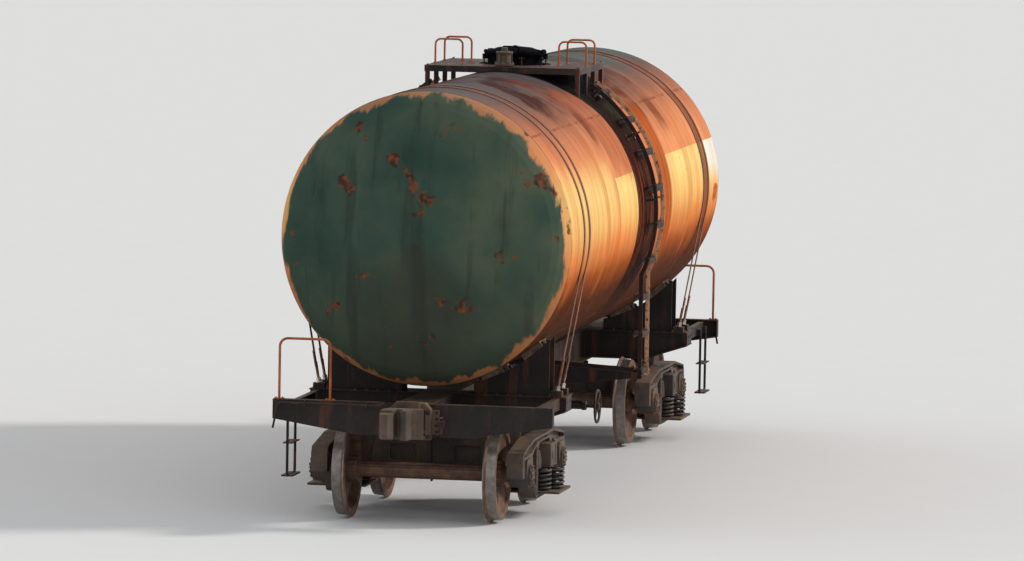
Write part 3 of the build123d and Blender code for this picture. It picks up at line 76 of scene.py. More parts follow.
LADDER_BRACKETS = (5, 32, 54)  # degrees over the tank's middle
STRINGER_X, STRINGER_DEPTH = 0.225, 0.045
CYLINDER = (0.638, 0.5, 0.993)
AIR_VALVE = (-1.070, -0.470, 1.033)
RESERVOIR = (-1.0, 0.470, 1.043)
ENDS = (1, -1)  # +x and -x, and in the same way +y and -y
UP = (0, 0, 1)


# Materials


def paint(red, green, blue):
    """A colour as it looks on a screen, 0 to 255, in the linear values that shaders take."""
    shares = [value / 255 for value in (red, green, blue)]
    linear = [s / 12.92 if s < 0.0405 else ((s + 0.055) / 1.055) ** 2.4 for s in shares]
    return (*linear, 1.0)


class Nodes:
    """A node tree that grows a line at a time. Values may be numbers, colours or sockets."""

    def __init__(self, tree):
        self.tree = tree
        self.tree.nodes.clear()

    def feed(self, node, key, value):
        if isinstance(value, bpy.types.NodeSocket):
            self.tree.links.new(value, node.inputs[key])
        else:
            node.inputs[key].default_value = value

    def node(self, kind, inputs=None, **settings):
        made = self.tree.nodes.new(kind)
        for name, value in settings.items():
            setattr(made, name, value)
        for key, value in (inputs or {}).items():
            self.feed(made, key, value)
        return made

    def math(self, operation, a, b=0.0):
        return self.node("ShaderNodeMath", {0: a, 1: b}, operation=operation).outputs[0]


class Finish(Nodes):
    """One material and its shader."""

    def __init__(self, name):
        self.material = bpy.data.materials.get(name) or bpy.data.materials.new(name)
        self.material.use_nodes = True
        super().__init__(self.material.node_tree)
        self.shader = self.node("ShaderNodeBsdfPrincipled")
        self.node("ShaderNodeOutputMaterial", {0: self.shader.outputs[0]})
        self.place = self.node("ShaderNodeTexCoord").outputs["Object"]
        self.x, self.y, self.z = self.node("ShaderNodeSeparateXYZ", {0: self.place}).outputs
        self.rounded = None

    def plus(self, a, b):
        return self.math("ADD", a, b)

    def times(self, a, b):
        return self.math("MULTIPLY", a, b)

    def size(self, a):
        return self.math("ABSOLUTE", a)

    def rise(self, value, low, high, start=0.0, end=1.0):
        """Turns smoothly from start to end while value goes from low to high."""
        made = self.node("ShaderNodeMapRange", {0: value, 1: low, 2: high, 3: start, 4: end})
        made.interpolation_type = "SMOOTHSTEP"
        return made.outputs[0]

    def within(self, value, low, high, soft):
        """1 where value lies between low and high, falling to 0 over soft outside them."""
        return self.times(self.rise(value, low - soft, low), self.rise(value, high + soft, high))

    def noise(self, scale, detail=3.0, at=None, roughness=0.55):
        """Cloudy noise around 0.5. scale is one number, or three for a stretched pattern."""
        place = self.place if at is None else at
        if isinstance(scale, tuple):
            place = self.node("ShaderNodeMapping", {0: place, "Scale": scale}).outputs[0]
            scale = 1.0
        inputs = {"Vector": place, "Scale": scale, "Detail": detail, "Roughness": roughness}
        return self.node("ShaderNodeTexNoise", inputs).outputs[0]

    def stray(self, value, noise, reach):
        """The value, led up and down by a noise, with reach from its lowest to its highest."""
        return self.plus(value, self.times(self.plus(noise, -0.5), reach))

    def mix(self, share, a, b):
        """Colour a, turned by share into b. Each is a socket or a screen colour."""
        a, b = [paint(*color) if isinstance(color, tuple) else color for color in (a, b)]
        return self.node("ShaderNodeMix", {0: share, 6: a, 7: b}, data_type="RGBA").outputs[2]

    def shade(self, color, amount):
        """Scales a colour's brightness by amount."""
        grey = self.node("ShaderNodeCombineColor", {0: amount, 1: amount, 2: amount}).outputs[0]
        inputs = {0: 1.0, 6: color, 7: grey}
        return self.node("ShaderNodeMix", inputs, data_type="RGBA", blend_type="MULTIPLY").outputs[2]

    def ramp(self, value, stops):
        """Screen colours that follow each other as value grows, from (value, colour) stops."""
        made = self.node("ShaderNodeValToRGB", {0: value})
        elements = made.color_ramp.elements
        while len(elements) < len(stops):
            elements.new(0.5)
        for element, (at, color) in zip(elements, stops):
            element.position = at
            element.color = paint(*color)
        return made.outputs[0]

    def normal(self):
        return self.node("ShaderNodeNewGeometry").outputs["Normal"]

    def upward(self):
        """How far the surface faces up, from 0 to 1."""
        return self.rise(self.node("ShaderNodeSeparateXYZ", {0: self.normal()}).outputs[2], 0.3, 0.95)

    def edges(self, radius):
        """Where an outer edge is near: the rounded normal, which the shader then takes, turns away."""
        self.rounded = self.node("ShaderNodeBevel", {"Radius": radius}, samples=4).outputs[0]
        inputs = {0: self.rounded, 1: self.normal()}
        turned = self.node("ShaderNodeVectorMath", inputs, operation="DOT_PRODUCT").outputs["Value"]
        return self.rise(turned, 0.995, 0.90)

    def finish(self, color, roughness, bumps, metallic=0.0, specular=0.5):
        """Feeds the shader. bumps are (height, depth in metres) pairs."""
        normal = self.rounded
        for height, depth in bumps:
            inputs = {"Height": height, "Distance": depth, "Strength": 1.0}
            if normal is not None:
                inputs["Normal"] = normal
            normal = self.node("ShaderNodeBump", inputs).outputs[0]
        names = ("Base Color", "Roughness", "Metallic", "Specular IOR Level", "Normal")
        for name, value in zip(names, (color, roughness, metallic, specular, normal)):
            self.feed(self.shader, name, value)
        return self.material


# Tank's paint. A share is a place on the half girth, from 0 at the tank's top to 1 at its bottom.

# Round the girth: the grey on top is partly dust and partly painted shade, the brightest orange on the
# sides is a painted highlight, and the dark brown below is partly dirt and partly painted shade.
WEATHER_AND_PAINTED_LIGHT = (
    (0.00, (100, 98, 98)),
    (0.08, (108, 97, 95)),
    (0.14, (118, 94, 87)),
    (0.22, (160, 106, 84)),
    (0.30, (208, 131, 91)),
    (0.36, (230, 148, 100)),
    (0.48, (238, 156, 98)),
    (0.55, (216, 118, 60)),
    (0.60, (166, 82, 28)),
    (0.66, (96, 44, 12)),
    (0.76, (66, 34, 18)),
    (1.00, (52, 42, 36)),
)
PANEL_SHARE = 0.389  # where the pale panels start
# The pale panels' colours, with a painted sun highlight brightest just under their upper line.
PALE_AND_HIGHLIGHT = ((0.36, (252, 206, 128)), (0.42, (254, 218, 138)), (0.48, (250, 200, 120)), (0.54, (234, 154, 86)))
# Rusty bands and smudges: from x, to x, from share, to share, strength and colour
BANDS = (
    (-1.70, -0.90, 0.02, 0.14, 0.65, (62, 54, 55)),
    (-3.15, -1.75, 0.02, 0.17, 0.90, (68, 34, 33)),
    (-1.98, -1.66, 0.12, 0.26, 0.85, (118, 60, 40)),
    (-1.66, -0.80, 0.18, 0.36, 0.60, (172, 92, 60)),
    (-2.62, -2.50, 0.30, 0.60, 0.40, (206, 112, 56)),
    (-4.52, -4.38, 0.26, 0.60, 0.30, (196, 110, 66)),
    (0.50, 0.98, 0.20, 0.60, 0.85, (206, 120, 76)),
    (1.30, 2.50, 0.04, 0.15, 0.60, (66, 50, 46)),
    (0.90, 1.56, 0.15, 0.27, 0.90, (110, 54, 32)),
    (0.98, 1.48, 0.27, 0.62, 0.90, (174, 80, 24)),
    (2.08, 2.36, 0.13, 0.28, 0.80, (128, 62, 36)),
    (2.70, 2.86, 0.30, 0.60, 0.40, (214, 122, 60)),
    (3.30, 3.40, 0.34, 0.60, 0.30, (214, 122, 60)),
    (3.80, 4.02, 0.02, 0.64, 0.88, (122, 60, 30)),
)
TAR = ((0.00, (10, 12, 18)), (0.18, (14, 15, 19)), (0.27, (32, 16, 13)))
TAR += ((0.38, (48, 14, 8)), (0.60, (36, 12, 8)))


class TankPaint(Finish):
    """The tank's coppery paint: grey on top, partly dust and partly painted shade, orange on the shoulders
    down to the pale panels on the sides with a painted highlight, brown dirt and painted shade under the
    belly, runs of rust, and the black spill of cargo round the manhole and down behind the ladders. The
    heads are dull green, partly weathering and partly painted shade, inside a rim of the barrel's colour."""

    def __init__(self):
        super().__init__("tank_paint")
        self.height = self.plus(self.z, -AXIS_Z)
        self.angle = self.math("ARCTAN2", self.y, self.height)
        self.girth = self.size(self.angle)
        self.share = self.times(self.girth, 1 / pi)
        self.along = self.size(self.x)
        unrolled = self.node("ShaderNodeCombineXYZ", {0: self.x, 1: self.angle}).outputs[0]
        self.blotch = self.noise(0.9, 5)
        self.fine = self.noise(14.0, 4)
        self.runs = self.noise((7.0, 0.7, 1.0), 5, unrolled)
        self.broad_runs = self.noise((1.9, 0.45, 1.0), 4, unrolled)
        self.thin_runs = self.noise((26.0, 1.1, 1.0), 3, unrolled)
        self.shifted = self.stray(self.share, self.blotch, 0.07)
        self.streaky = self.stray(self.shifted, self.runs, 0.12)
        self.knuckle = self.rise(self.along, BARREL_HALF + 0.002, BARREL_HALF + 0.02)


def sheets(f):
    """The sheets round the girth, with painted shade on top and under the belly and a painted highlight on
    the sides, greener on top towards the far end as a painted sky-lit shade.
    """
    teal_shade = f.times(f.rise(f.x, 1.4, 3.4), f.rise(f.shifted, 0.16, 0.05, 0.0, 0.7))
    return f.mix(teal_shade, f.ramp(f.shifted, WEATHER_AND_PAINTED_LIGHT), (94, 108, 104))


def panels(f, color):
    """Pale panels below a straight line, where the sheets were washed, their colours carrying a painted sun
    highlight, and a white end strip.
    """
    below = f.rise(f.share, PANEL_SHARE - 0.001, PANEL_SHARE + 0.001)
    lower = f.rise(f.share, PANEL_SHARE + 0.010, PANEL_SHARE + 0.012)
    near_end = f.times(f.rise(f.streaky, 0.32, 0.40), f.rise(f.x, -1.75, -2.2, 0.0, 0.9))
    near_panel = f.times(lower, f.within(f.x, -1.80, -0.60, 0.02))
    far_panel = f.times(below, f.rise(f.x, 1.45, 1.50))
    far_panel = f.times(far_panel, f.rise(f.plus(f.x, f.broad_runs), 2.0, 2.9, 0.7, 1.0))
    panel = f.math("MAXIMUM", f.math("MAXIMUM", near_end, near_panel), far_panel)
    panel = f.times(panel, f.rise(f.shifted, 0.60, 0.50))
    color = f.mix(f.times(panel, 0.95), color, f.ramp(f.shifted, PALE_AND_HIGHLIGHT))
    strip = f.times(f.times(f.rise(f.x, 4.085, 4.095), below), f.rise(f.shifted, 0.50, 0.43))
    return f.mix(strip, color, (250, 240, 222))


def bands(f, color):
    """The bands' edges wander most on the tank's flat top, and the paint shows through in patches."""
    flat = f.rise(f.share, 0.32, 0.14)
    wander = f.stray(f.x, f.broad_runs, 0.22)
    wander = f.stray(wander, f.noise(1.5, 5), f.times(flat, 1.3))
    ragged = f.stray(f.streaky, f.noise(2.2, 4), 0.14)
    patchy = f.rise(f.noise((1.2, 2.6, 2.6), 5), 0.38, 0.56, 0.3, 1.0)
    patchy = f.math("MAXIMUM", patchy, f.rise(flat, 0.7, 0.2))
    for left, right, upper, lower, strength, tone in BANDS:
        band = f.times(f.within(wander, left, right, 0.10), f.within(ragged, upper, lower, 0.07))
        band = f.times(f.times(band, patchy), f.rise(f.runs, 0.28, 0.5, 0.8 * strength, strength))
        color = f.mix(band, color, tone)
    return color


def shading(f, color):
    """Clouds, runs and thin lines of rust down the sides, and darker brown along the straps."""
    color = f.shade(color, f.rise(f.blotch, 0.3, 0.7, 0.88, 1.06))
    color = f.shade(color, f.rise(f.runs, 0.35, 0.62, 1.04, 0.88))
    lines = f.times(f.rise(f.thin_runs, 0.60, 0.68), f.rise(f.girth, 0.9, 1.3))
    color = f.mix(f.times(lines, 0.40), color, (156, 82, 46))
    strap = f.math("MINIMUM", *[f.size(f.plus(f.along, -place)) for place in STRAP_PLACES])
    near_strap = f.times(f.rise(strap, 0.085, 0.035), f.rise(f.runs, 0.3, 0.6, 0.25, 0.8))
    return f.mix(near_strap, color, (128, 70, 42))


def bare_spot(f, color):
    """A bare rusty spot beside the far strap, on the -y side alone."""
    side = f.times(f.angle, -1 / pi)
    spot = f.times(f.within(f.x, 4.50, 4.64, 0.18), f.within(side, 0.515, 0.525, 0.030))
    spot = f.stray(spot, f.noise(7.0, 6), 1.9)
    bare = f.mix(f.rise(f.noise(18.0, 4), 0.4, 0.6), (196, 106, 62), (150, 66, 38))
    return f.mix(f.times(f.rise(spot, 0.45, 0.62), 0.9), color, bare)


def belly(f, color):
    """Darker brown along the belly, partly dirt thrown up and partly painted shade, with pale drips through
    it.
    """
    # Partly dirt, partly painted shade on the underside.
    dirt_and_shade = f.times(f.rise(f.share, 0.57, 0.70), f.rise(f.runs, 0.3, 0.56))
    color = f.mix(f.times(dirt_and_shade, 0.70), color, (76, 40, 22))
    drips = f.times(f.rise(f.share, 0.60, 0.68), f.rise(f.thin_runs, 0.64, 0.70))
    return f.mix(f.times(drips, 0.25), color, (160, 100, 70))


def heads(f, color):
    """Dull green, partly weathering and partly painted shade, with dark runs and scabs of rust, torn off
    along the rim.
    """
    radius = f.math("SQRT", f.plus(f.times(f.y, f.y), f.times(f.height, f.height)))
    torn = f.stray(radius, f.noise((1.0, 4.5, 1.2), 9, roughness=0.62), 0.36)
    dish = f.times(f.knuckle, f.rise(torn, 1.475, 1.435))
    color = f.mix(f.times(f.knuckle, 0.6), color, (196, 134, 88))
    # Painted shade: the dish's dull green stands partly for the tint of the head in shadow.
    dull_shade = f.ramp(f.blotch, [(0.3, (42, 64, 58)), (0.5, (60, 80, 70)), (0.7, (86, 96, 78))])
    dull_shade = f.mix(f.rise(f.share, 0.45, 0.95, 0.0, 0.55), dull_shade, (64, 58, 46))
    dark_runs = f.rise(f.noise((1.0, 5.0, 0.55), 4), 0.54, 0.66, 0.0, 0.5)
    dull_shade = f.mix(dark_runs, dull_shade, (48, 52, 46))
    color = f.mix(dish, color, dull_shade)
    rust = f.times(f.knuckle, f.rise(f.noise(3.1, 6), 0.63, 0.67))
    scab = f.mix(f.rise(f.fine, 0.40, 0.60), (122, 70, 44), (66, 44, 38))
    return f.mix(f.times(rust, 0.85), color, scab)


def freckles(f, color):
    """Rust freckles, and rust creeping from the welds along the barrel and round its ends."""
    upper = f.size(f.plus(f.girth, -SEAM_ANGLE))
    lower = f.size(f.plus(f.girth, SEAM_ANGLE - pi))
    seam = f.plus(f.math("MINIMUM", upper, lower), f.knuckle)
    seam = f.math("MINIMUM", seam, f.size(f.plus(f.along, -BARREL_HALF)))
    creep = f.times(f.rise(seam, 0.016, 0.004), f.rise(f.noise(7.0, 4), 0.42, 0.62))
    freckle = f.rise(f.noise(30.0, 2), 0.68, 0.74)
    rust = f.math("MAXIMUM", f.times(creep, 0.6), f.times(freckle, 0.45))
    return f.mix(rust, color, (120, 64, 38))


def spill(f):
    """Where the cargo spilled, wider on the shoulders than down the sides."""
    shoulder = f.rise(f.girth, 0.85, 0.40)
    left = f.plus(f.plus(f.x, 0.74), f.times(shoulder, 0.22))
    right = f.plus(f.times(shoulder, 0.70), f.math("SUBTRACT", 0.46, f.x))
    inside = f.stray(f.math("MINIMUM", left, right), f.broad_runs, 0.30)
    inside = f.stray(inside, f.runs, 0.20)
    return f.times(f.rise(inside, -0.02, 0.05), f.rise(f.girth, 2.5, 1.9, 0.30, 1.0))


def tar(f):
    """The spilled cargo: black on top, red-brown below with rusty streaks and a mossy patch."""
    color = f.ramp(f.share, TAR)
    streaks = f.times(f.rise(f.thin_runs, 0.52, 0.60), f.within(f.share, 0.44, 0.56, 0.10))
    color = f.mix(f.times(streaks, 0.8), color, (156, 76, 42))
    mossy = f.times(f.rise(f.blotch, 0.50, 0.60), f.within(f.share, 0.18, 0.27, 0.05))
    return f.mix(f.times(mossy, 0.6), color, (44, 46, 20))


def tank_paint():
    f = TankPaint()
    color = sheets(f)
    for layer in (panels, bands, shading, bare_spot, belly, heads, freckles):
        color = layer(f, color)
    spilled = spill(f)
    color = f.mix(f.times(spilled, 0.99), color, tar(f))
    rough = f.rise(f.fine, 0.3, 0.7, 0.60, 0.78)
    rough = f.plus(rough, f.times(f.rise(f.share, 0.3, 0.0), 0.12))
    waves = f.noise((0.55, 1.3, 1.3), 2)
    crust = f.times(spilled, f.noise(34.0, 3))
    bumps = [(waves, 0.030), (f.fine, 0.0016), (f.runs, 0.002), (crust, 0.006)]
    return f.finish(color, rough, bumps, specular=0.02)


# Other materials


def worn_paint(name, base, low, rust, dust, glow=0.0, edge=0.006, dusty=0.5, painted_highlight=None):
    """Dark paint with cloudy dirt, rust at its edges and in patches, and dust where it faces up. The last
    argument is a pale colour painted on the +x side of the ladders, a painted sunlit highlight on the
    stringers."""
    f = Finish(name)
    cloud, fine = f.noise(2.2, 5), f.noise(26.0, 4)
    drips = f.noise((9.0, 9.0, 1.1), 4)
    color = f.mix(f.rise(cloud, 0.35, 0.65), low, base)
    if painted_highlight:
        # Painted highlight: the +x side of the stringers painted pale as if sunlit.
        highlit = f.times(f.rise(f.x, 0.195, 0.212), f.rise(fine, 0.25, 0.5))
        color = f.mix(f.times(highlit, 0.9), color, painted_highlight)
    color = f.mix(f.times(f.rise(drips, 0.52, 0.68), 0.55), color, rust)
    wear = f.times(f.edges(edge), f.rise(fine, 0.35, 0.6, 0.25, 0.9))
    color = f.mix(wear, color, tuple(c + 34 for c in rust))
    settled = f.times(f.upward(), f.rise(f.noise(5.0, 4), 0.3, 0.65, 0.25, 1.0))
    color = f.mix(f.times(settled, dusty), color, dust)
    color = f.shade(color, f.rise(fine, 0.3, 0.7, 0.88, 1.12))
    rough = f.rise(cloud, 0.3, 0.7, 0.50 - glow, 0.74 - glow)
    return f.finish(color, rough, [(fine, 0.0012), (cloud, 0.003)], specular=0.22)


def strap_steel():
    f = Finish("strap_steel")
    fine, cloud = f.noise(40.0, 4), f.noise(3.0, 4)
    color = f.ramp(cloud, [(0.3, (74, 40, 28)), (0.55, (112, 58, 34)), (0.75, (146, 82, 44))])
    worn = f.times(f.edges(0.003), f.rise(fine, 0.4, 0.6))
    color = f.mix(worn, color, (176, 118, 74))
    return f.finish(color, f.rise(fine, 0.3, 0.7, 0.45, 0.7), [(fine, 0.0008)])


def bright_steel():
    """Bare metal with grease and a little rust in its hollows."""
    f = Finish("bright_steel")
    fine, cloud = f.noise(60.0, 3), f.noise(9.0, 4)
    color = f.mix(f.rise(cloud, 0.35, 0.65), (150, 140, 128), (206, 196, 180))
    stained = f.rise(f.noise(22.0, 3), 0.58, 0.7)
    color = f.mix(f.times(stained, 0.6), color, (110, 66, 42))
    return f.finish(color, f.rise(fine, 0.3, 0.7, 0.3, 0.5), [(fine, 0.0004)], metallic=0.75)


def timber():
    """Weathered oak, its grain along the car, with cracks and oil."""
    f = Finish("timber")
    grain = f.noise((2.5, 46.0, 46.0), 5)
    rings = f.noise((0.9, 12.0, 12.0), 3)
    color = f.ramp(rings, [(0.3, (70, 56, 46)), (0.5, (104, 84, 66)), (0.7, (132, 110, 88))])
    color = f.shade(color, f.rise(grain, 0.3, 0.7, 0.65, 1.15))
    cracks = f.rise(grain, 0.34, 0.28)
    color = f.mix(cracks, color, (30, 24, 20))
    return f.finish(color, 0.8, [(grain, 0.003), (cracks, -0.002)])


def cast_metal():
    """Sand-cast steel under road grime: a coarse skin, rust bloom, dust on ledges and dark grease."""
    f = Finish("cast_metal")
    skin, cloud = f.noise(70.0, 3), f.noise(3.2, 5)
    color = f.ramp(cloud, [(0.3, (44, 38, 35)), (0.5, (70, 58, 50)), (0.7, (98, 76, 60))])
    wear = f.times(f.edges(0.008), f.rise(f.noise(20.0, 3), 0.35, 0.6, 0.2, 0.8))
    color = f.mix(wear, color, (138, 104, 80))
    settled = f.times(f.upward(), f.rise(f.noise(6.0, 4), 0.3, 0.6, 0.3, 1.0))
    color = f.mix(f.times(settled, 0.6), color, (128, 106, 86))
    grease = f.rise(f.noise(1.7, 4), 0.58, 0.70)
    color = f.mix(f.times(grease, 0.7), color, (26, 23, 22))
    rough = f.plus(f.rise(skin, 0.3, 0.7, 0.6, 0.82), f.times(grease, -0.25))
    return f.finish(color, rough, [(skin, 0.0022), (cloud, 0.004)])


def spring_steel():
    f = Finish("spring_steel")
    fine, cloud = f.noise(50.0, 3), f.noise(8.0, 4)
    color = f.ramp(cloud, [(0.3, (34, 30, 30)), (0.55, (56, 46, 42)), (0.75, (96, 66, 48))])
    return f.finish(color, f.rise(fine, 0.3, 0.7, 0.4, 0.65), [(fine, 0.0008)])


def wheel_steel():
    """Rolled wheels: rust-brown web and rim with oily streaks from the hub, and worn rolling surfaces."""
    f = Finish("wheel_steel")
    offset = f.plus(f.size(f.plus(f.size(f.x), -BOGIE_X)), -AXLE_OFFSET)
    height = f.plus(f.z, -AXLE_Z)
    radius = f.math("SQRT", f.plus(f.times(offset, offset), f.times(height, height)))
    turn = f.math("ARCTAN2", height, offset)
    spokes = f.node("ShaderNodeCombineXYZ", {0: f.math("SINE", turn), 1: f.math("COSINE", turn)}).outputs[0]
    flung = f.noise(5.0, 4, spokes)
    cloud, fine = f.noise(9.0, 6), f.noise(45.0, 3)
    color = f.ramp(cloud, [(0.3, (66, 48, 40)), (0.5, (96, 66, 50)), (0.7, (122, 86, 64))])
    oil = f.times(f.rise(flung, 0.45, 0.6), f.rise(radius, 0.40, 0.14))
    color = f.mix(f.times(oil, 0.8), color, (32, 27, 25))
    lathe = f.times(f.math("SINE", f.times(f.y, 1400.0)), 0.5)
    across = f.size(f.node("ShaderNodeSeparateXYZ", {0: f.normal()}).outputs[1])
    rolling = f.rise(radius, TREAD_RADIUS - 0.030, TREAD_RADIUS - 0.024)
    rolling = f.times(rolling, f.rise(across, 0.8, 0.5))
    rolled = [(0.3, (104, 98, 92)), (0.5, (120, 114, 108)), (0.7, (136, 130, 122))]
    color = f.mix(rolling, color, f.ramp(f.noise(16.0, 4), rolled))
    rough = f.mix(rolling, f.rise(fine, 0.3, 0.7, 0.6, 0.8), f.rise(fine, 0.3, 0.7, 0.34, 0.48))
    return f.finish(color, rough, [(fine, 0.0009), (lathe, 0.0001)], metallic=f.times(rolling, 0.7))


# Worn paints: base, low, rust and dust colours
FITTING = ((58, 44, 40), (30, 27, 29), (112, 58, 34), (96, 76, 64))
FRAME = ((44, 38, 36), (26, 24, 24), (92, 54, 36), (112, 92, 74))
RAIL = ((186, 104, 50), (140, 76, 42), (96, 50, 32), (206, 160, 110))
LADDER = ((40, 30, 28), (20, 18, 20), (96, 52, 34), (74, 58, 50))
FINISHES = (
    tank_paint(),
    worn_paint("fitting_paint", *FITTING, glow=0.12, dusty=0.35),
    worn_paint("frame_paint", *FRAME),
    strap_steel(),
    timber(),
    cast_metal(),
    spring_steel(),
    wheel_steel(),
    worn_paint("rail_paint", *RAIL, dusty=0.4, edge=0.003),
    bright_steel(),
    worn_paint("ladder_paint", *LADDER, painted_highlight=(230, 170, 132)),
)
FINISHES = {material.name: material for material in FINISHES}
SLOT_OF = {"rail_paint": "fitting_paint", "bright_steel": "strap_steel", "ladder_paint": "fitting_paint"}
for name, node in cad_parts.items():
    for slot in node.material_slots:
        finish = "ladder_paint" if name == "ladders" else slot.material.name.split(".")[0]
        slot.material = FINISHES[finish]


# Pieces


def at(origin, direction, spin=0.0):
    """A place whose z axis points along direction."""
    turn = Vector(direction).to_track_quat("Z", "Y").to_matrix().to_4x4()
    return Matrix.Translation(Vector(origin)) @ turn @ Matrix.Rotation(spin, 4, "Z")


def turns(count, shift=0.0):
    """Angles evenly round a circle, all led on by a share of their pitch."""
    return [2 * pi * (n + shift) / count for n in range(count)]


def rectangle(half_x, half_y):
    return [(-half_x, -half_y), (half_x, -half_y), (half_x, half_y), (-half_x, half_y)]


def linked(name, data):
    """A new object in the scene."""
    made = bpy.data.objects.new(name, data)
    bpy.context.scene.collection.objects.link(made)
    return made


def circle(x, y, radius, count, shift=0.0):
    """For points evenly round a circle, each one's turn and its two places."""
    for turn in turns(count, shift):
        yield turn, x + radius * cos(turn), y + radius * sin(turn)


def bent(corners, bend, step=radians(11)):
    """A bent bar's centre line: straight runs joined by arcs of the bending tool's radius."""
    corners = [Vector(c) for c in corners]
    path = [corners[0]]
    for before, corner, after in zip(corners, corners[1:], corners[2:]):
        a, b = (before - corner).normalized(), (after - corner).normalized()
        half = a.angle(b) / 2
        middle = corner + (a + b).normalized() * (bend / sin(half))
        start, end = corner + a * (bend / tan(half)), corner + b * (bend / tan(half))
        axis = (start - middle).cross(end - middle).normalized()
        sweep = pi - 2 * half
        steps = max(2, round(sweep / step))
        for n in range(steps + 1):
            path.append(middle + Matrix.Rotation(sweep * n / steps, 3, axis) @ (start - middle))
    return path + [corners[-1]]


class Piece:
    """Points and faces in the frame of the solids, made into one object that rides on one body."""

    def __init__(self, name, body, finish):
        self.name, self.body, self.finish = name, body, finish
        self.mesh = bmesh.new()

    def loft(self, rings, round_again=False):
        """Skins the rings, which have equally many points, each to the next, and closes the ends."""
        rows = [[self.mesh.verts.new(p) for p in ring] for ring in rings]
        count = len(rows[0])
        following = rows[1:] + rows[:1] if round_again else rows[1:]
        for low, high in zip(rows, following):
            for n in range(count):
                after = (n + 1) % count
                self.mesh.faces.new((low[n], low[after], high[after], high[n]))
        if not round_again:
            self.mesh.faces.new(list(reversed(rows[0])))
            self.mesh.faces.new(rows[-1])

    def turned(self, place, profile, sides=16):
        """A profile of (radius, along) points turned about the place's z axis, closed at both ends."""
        rings = []
        for radius, along in profile:
            rings.append([place @ Vector((radius * cos(t), radius * sin(t), along)) for t in turns(sides)])
        self.loft(rings)

    def tube(self, path, radius, sides=8, round_again=False):
        """A round bar along a path of points. radius may be a list, one for each point."""
        path = [Vector(p) for p in path]
        count = len(path)
        radii = radius if isinstance(radius, list) else [radius] * count
        rings, side = [], None
        for n, point in enumerate(path):
            before = path[n - 1] if n or round_again else point
            after = path[(n + 1) % count] if n + 1 < count or round_again else point
            along = (after - before).normalized()
            if side is None:
                side = along.orthogonal().normalized()
            side = (side - along * side.dot(along)).normalized()
            other = along.cross(side)
            rings.append([point + (side * cos(t) + other * sin(t)) * radii[n] for t in turns(sides)])
        self.loft(rings, round_again)

    def plate(self, place, outline, thickness, edge=0.002):
        """A plate of that outline in the place's x and y, with its upper rim broken by a small bevel."""
        middle_x, middle_y = [sum(p[i] for p in outline) / len(outline) for i in (0, 1)]
        reach = max(hypot(x - middle_x, y - middle_y) for x, y in outline)
        keep = 1 - edge / reach
        inset = [(middle_x + (x - middle_x) * keep, middle_y + (y - middle_y) * keep) for x, y in outline]
        rings = [(outline, 0), (outline, thickness - edge), (inset, thickness)]
        self.loft([[place @ Vector((x, y, z)) for x, y in points] for points, z in rings])

    def bolt(self, place, across=0.024, height=0.014, washer=True):
        """A hexagon head or nut with broken corners on its washer."""
        r = across / sqrt(3)
        low = 0.003 if washer else 0.0
        if washer:
            self.turned(place, [(across * 0.95, 0), (across * 0.95, low * 0.7), (across * 0.9, low)], 12)
        self.turned(place, [(r, low), (r, low + height * 0.8), (r * 0.84, low + height)], 6)

    def rivet(self, place, radius=0.014):
        self.turned(place, [(radius, 0), (radius * 0.92, radius * 0.35), (radius * 0.5, radius * 0.62)], 10)

    def done(self, sharp=radians(38)):
        mesh = bpy.data.meshes.new(self.name)
        bmesh.ops.recalc_face_normals(self.mesh, faces=self.mesh.faces)
        self.mesh.to_mesh(mesh)
        self.mesh.free()
        mesh.polygons.foreach_set("use_smooth", [True] * len(mesh.polygons))
        mesh.set_sharp_from_angle(angle=sharp)
        made = linked(self.name, mesh)
        made.data.materials.append(FINISHES[self.finish])
        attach(made, self.body)
        SLOT_OF.get(self.finish, self.finish)
        return made


def on_barrel(x, angle, lift=0.0):
    """A point on the barrel, the angle from straight up towards +y."""
    r = BARREL_RADIUS + lift
    return Vector((x, r * sin(angle), AXIS_Z + r * cos(angle)))


# Tank: weld beads


def weld_seams():
    """The beads between the barrel's plates, at both heads and round the manhole's collar."""
    piece = Piece("weld_seams", "car", "tank_paint")
    half, rise = 0.009, 0.0028
    section = [(-1.0, -0.4), (-0.62, 0.72), (0.0, 1.0), (0.62, 0.72), (1.0, -0.4)]
    steps = 320
    for seam in (SEAM_ANGLE, -SEAM_ANGLE, pi - SEAM_ANGLE, SEAM_ANGLE - pi):
        rings = []
        for n in range(steps + 1):
            x = BARREL_HALF * (2 * n / steps - 1)
            swell = 1 + 0.14 * sin(n * 2.1) + 0.08 * sin(n * 0.7)
            bead = [(seam + a * half * swell / BARREL_RADIUS, h * rise * swell) for a, h in section]
            rings.append([on_barrel(x, angle, lift) for angle, lift in bead])
        piece.loft(rings)
    for end in ENDS:
        rings = []
        for n, angle in enumerate(turns(steps)):
            swell = 1 + 0.14 * sin(n * 2.1) + 0.08 * sin(n * 0.3)
            bead = [(end * BARREL_HALF + a * half * swell, h * rise * swell) for a, h in section]
            rings.append([on_barrel(x, angle, lift) for x, lift in bead])
        piece.loft(rings, round_again=True)
    collar = circle(0, 0, NECK_RADIUS + 0.003, 96)
    collar = [(x, y, AXIS_Z + sqrt(BARREL_RADIUS**2 - y**2) + 0.002) for _, x, y in collar]
    piece.tube(collar, 0.009, 8, round_again=True)
    piece.done()


# Tank: hatch, valve and platform


def eye_bolt_places():
    """For each eye bolt its turn, and the directions out from the hatch and across there."""
    for turn in turns(EYE_BOLTS, 0.5):
        yield turn, Vector((cos(turn), sin(turn), 0)), Vector((-sin(turn), cos(turn), 0))


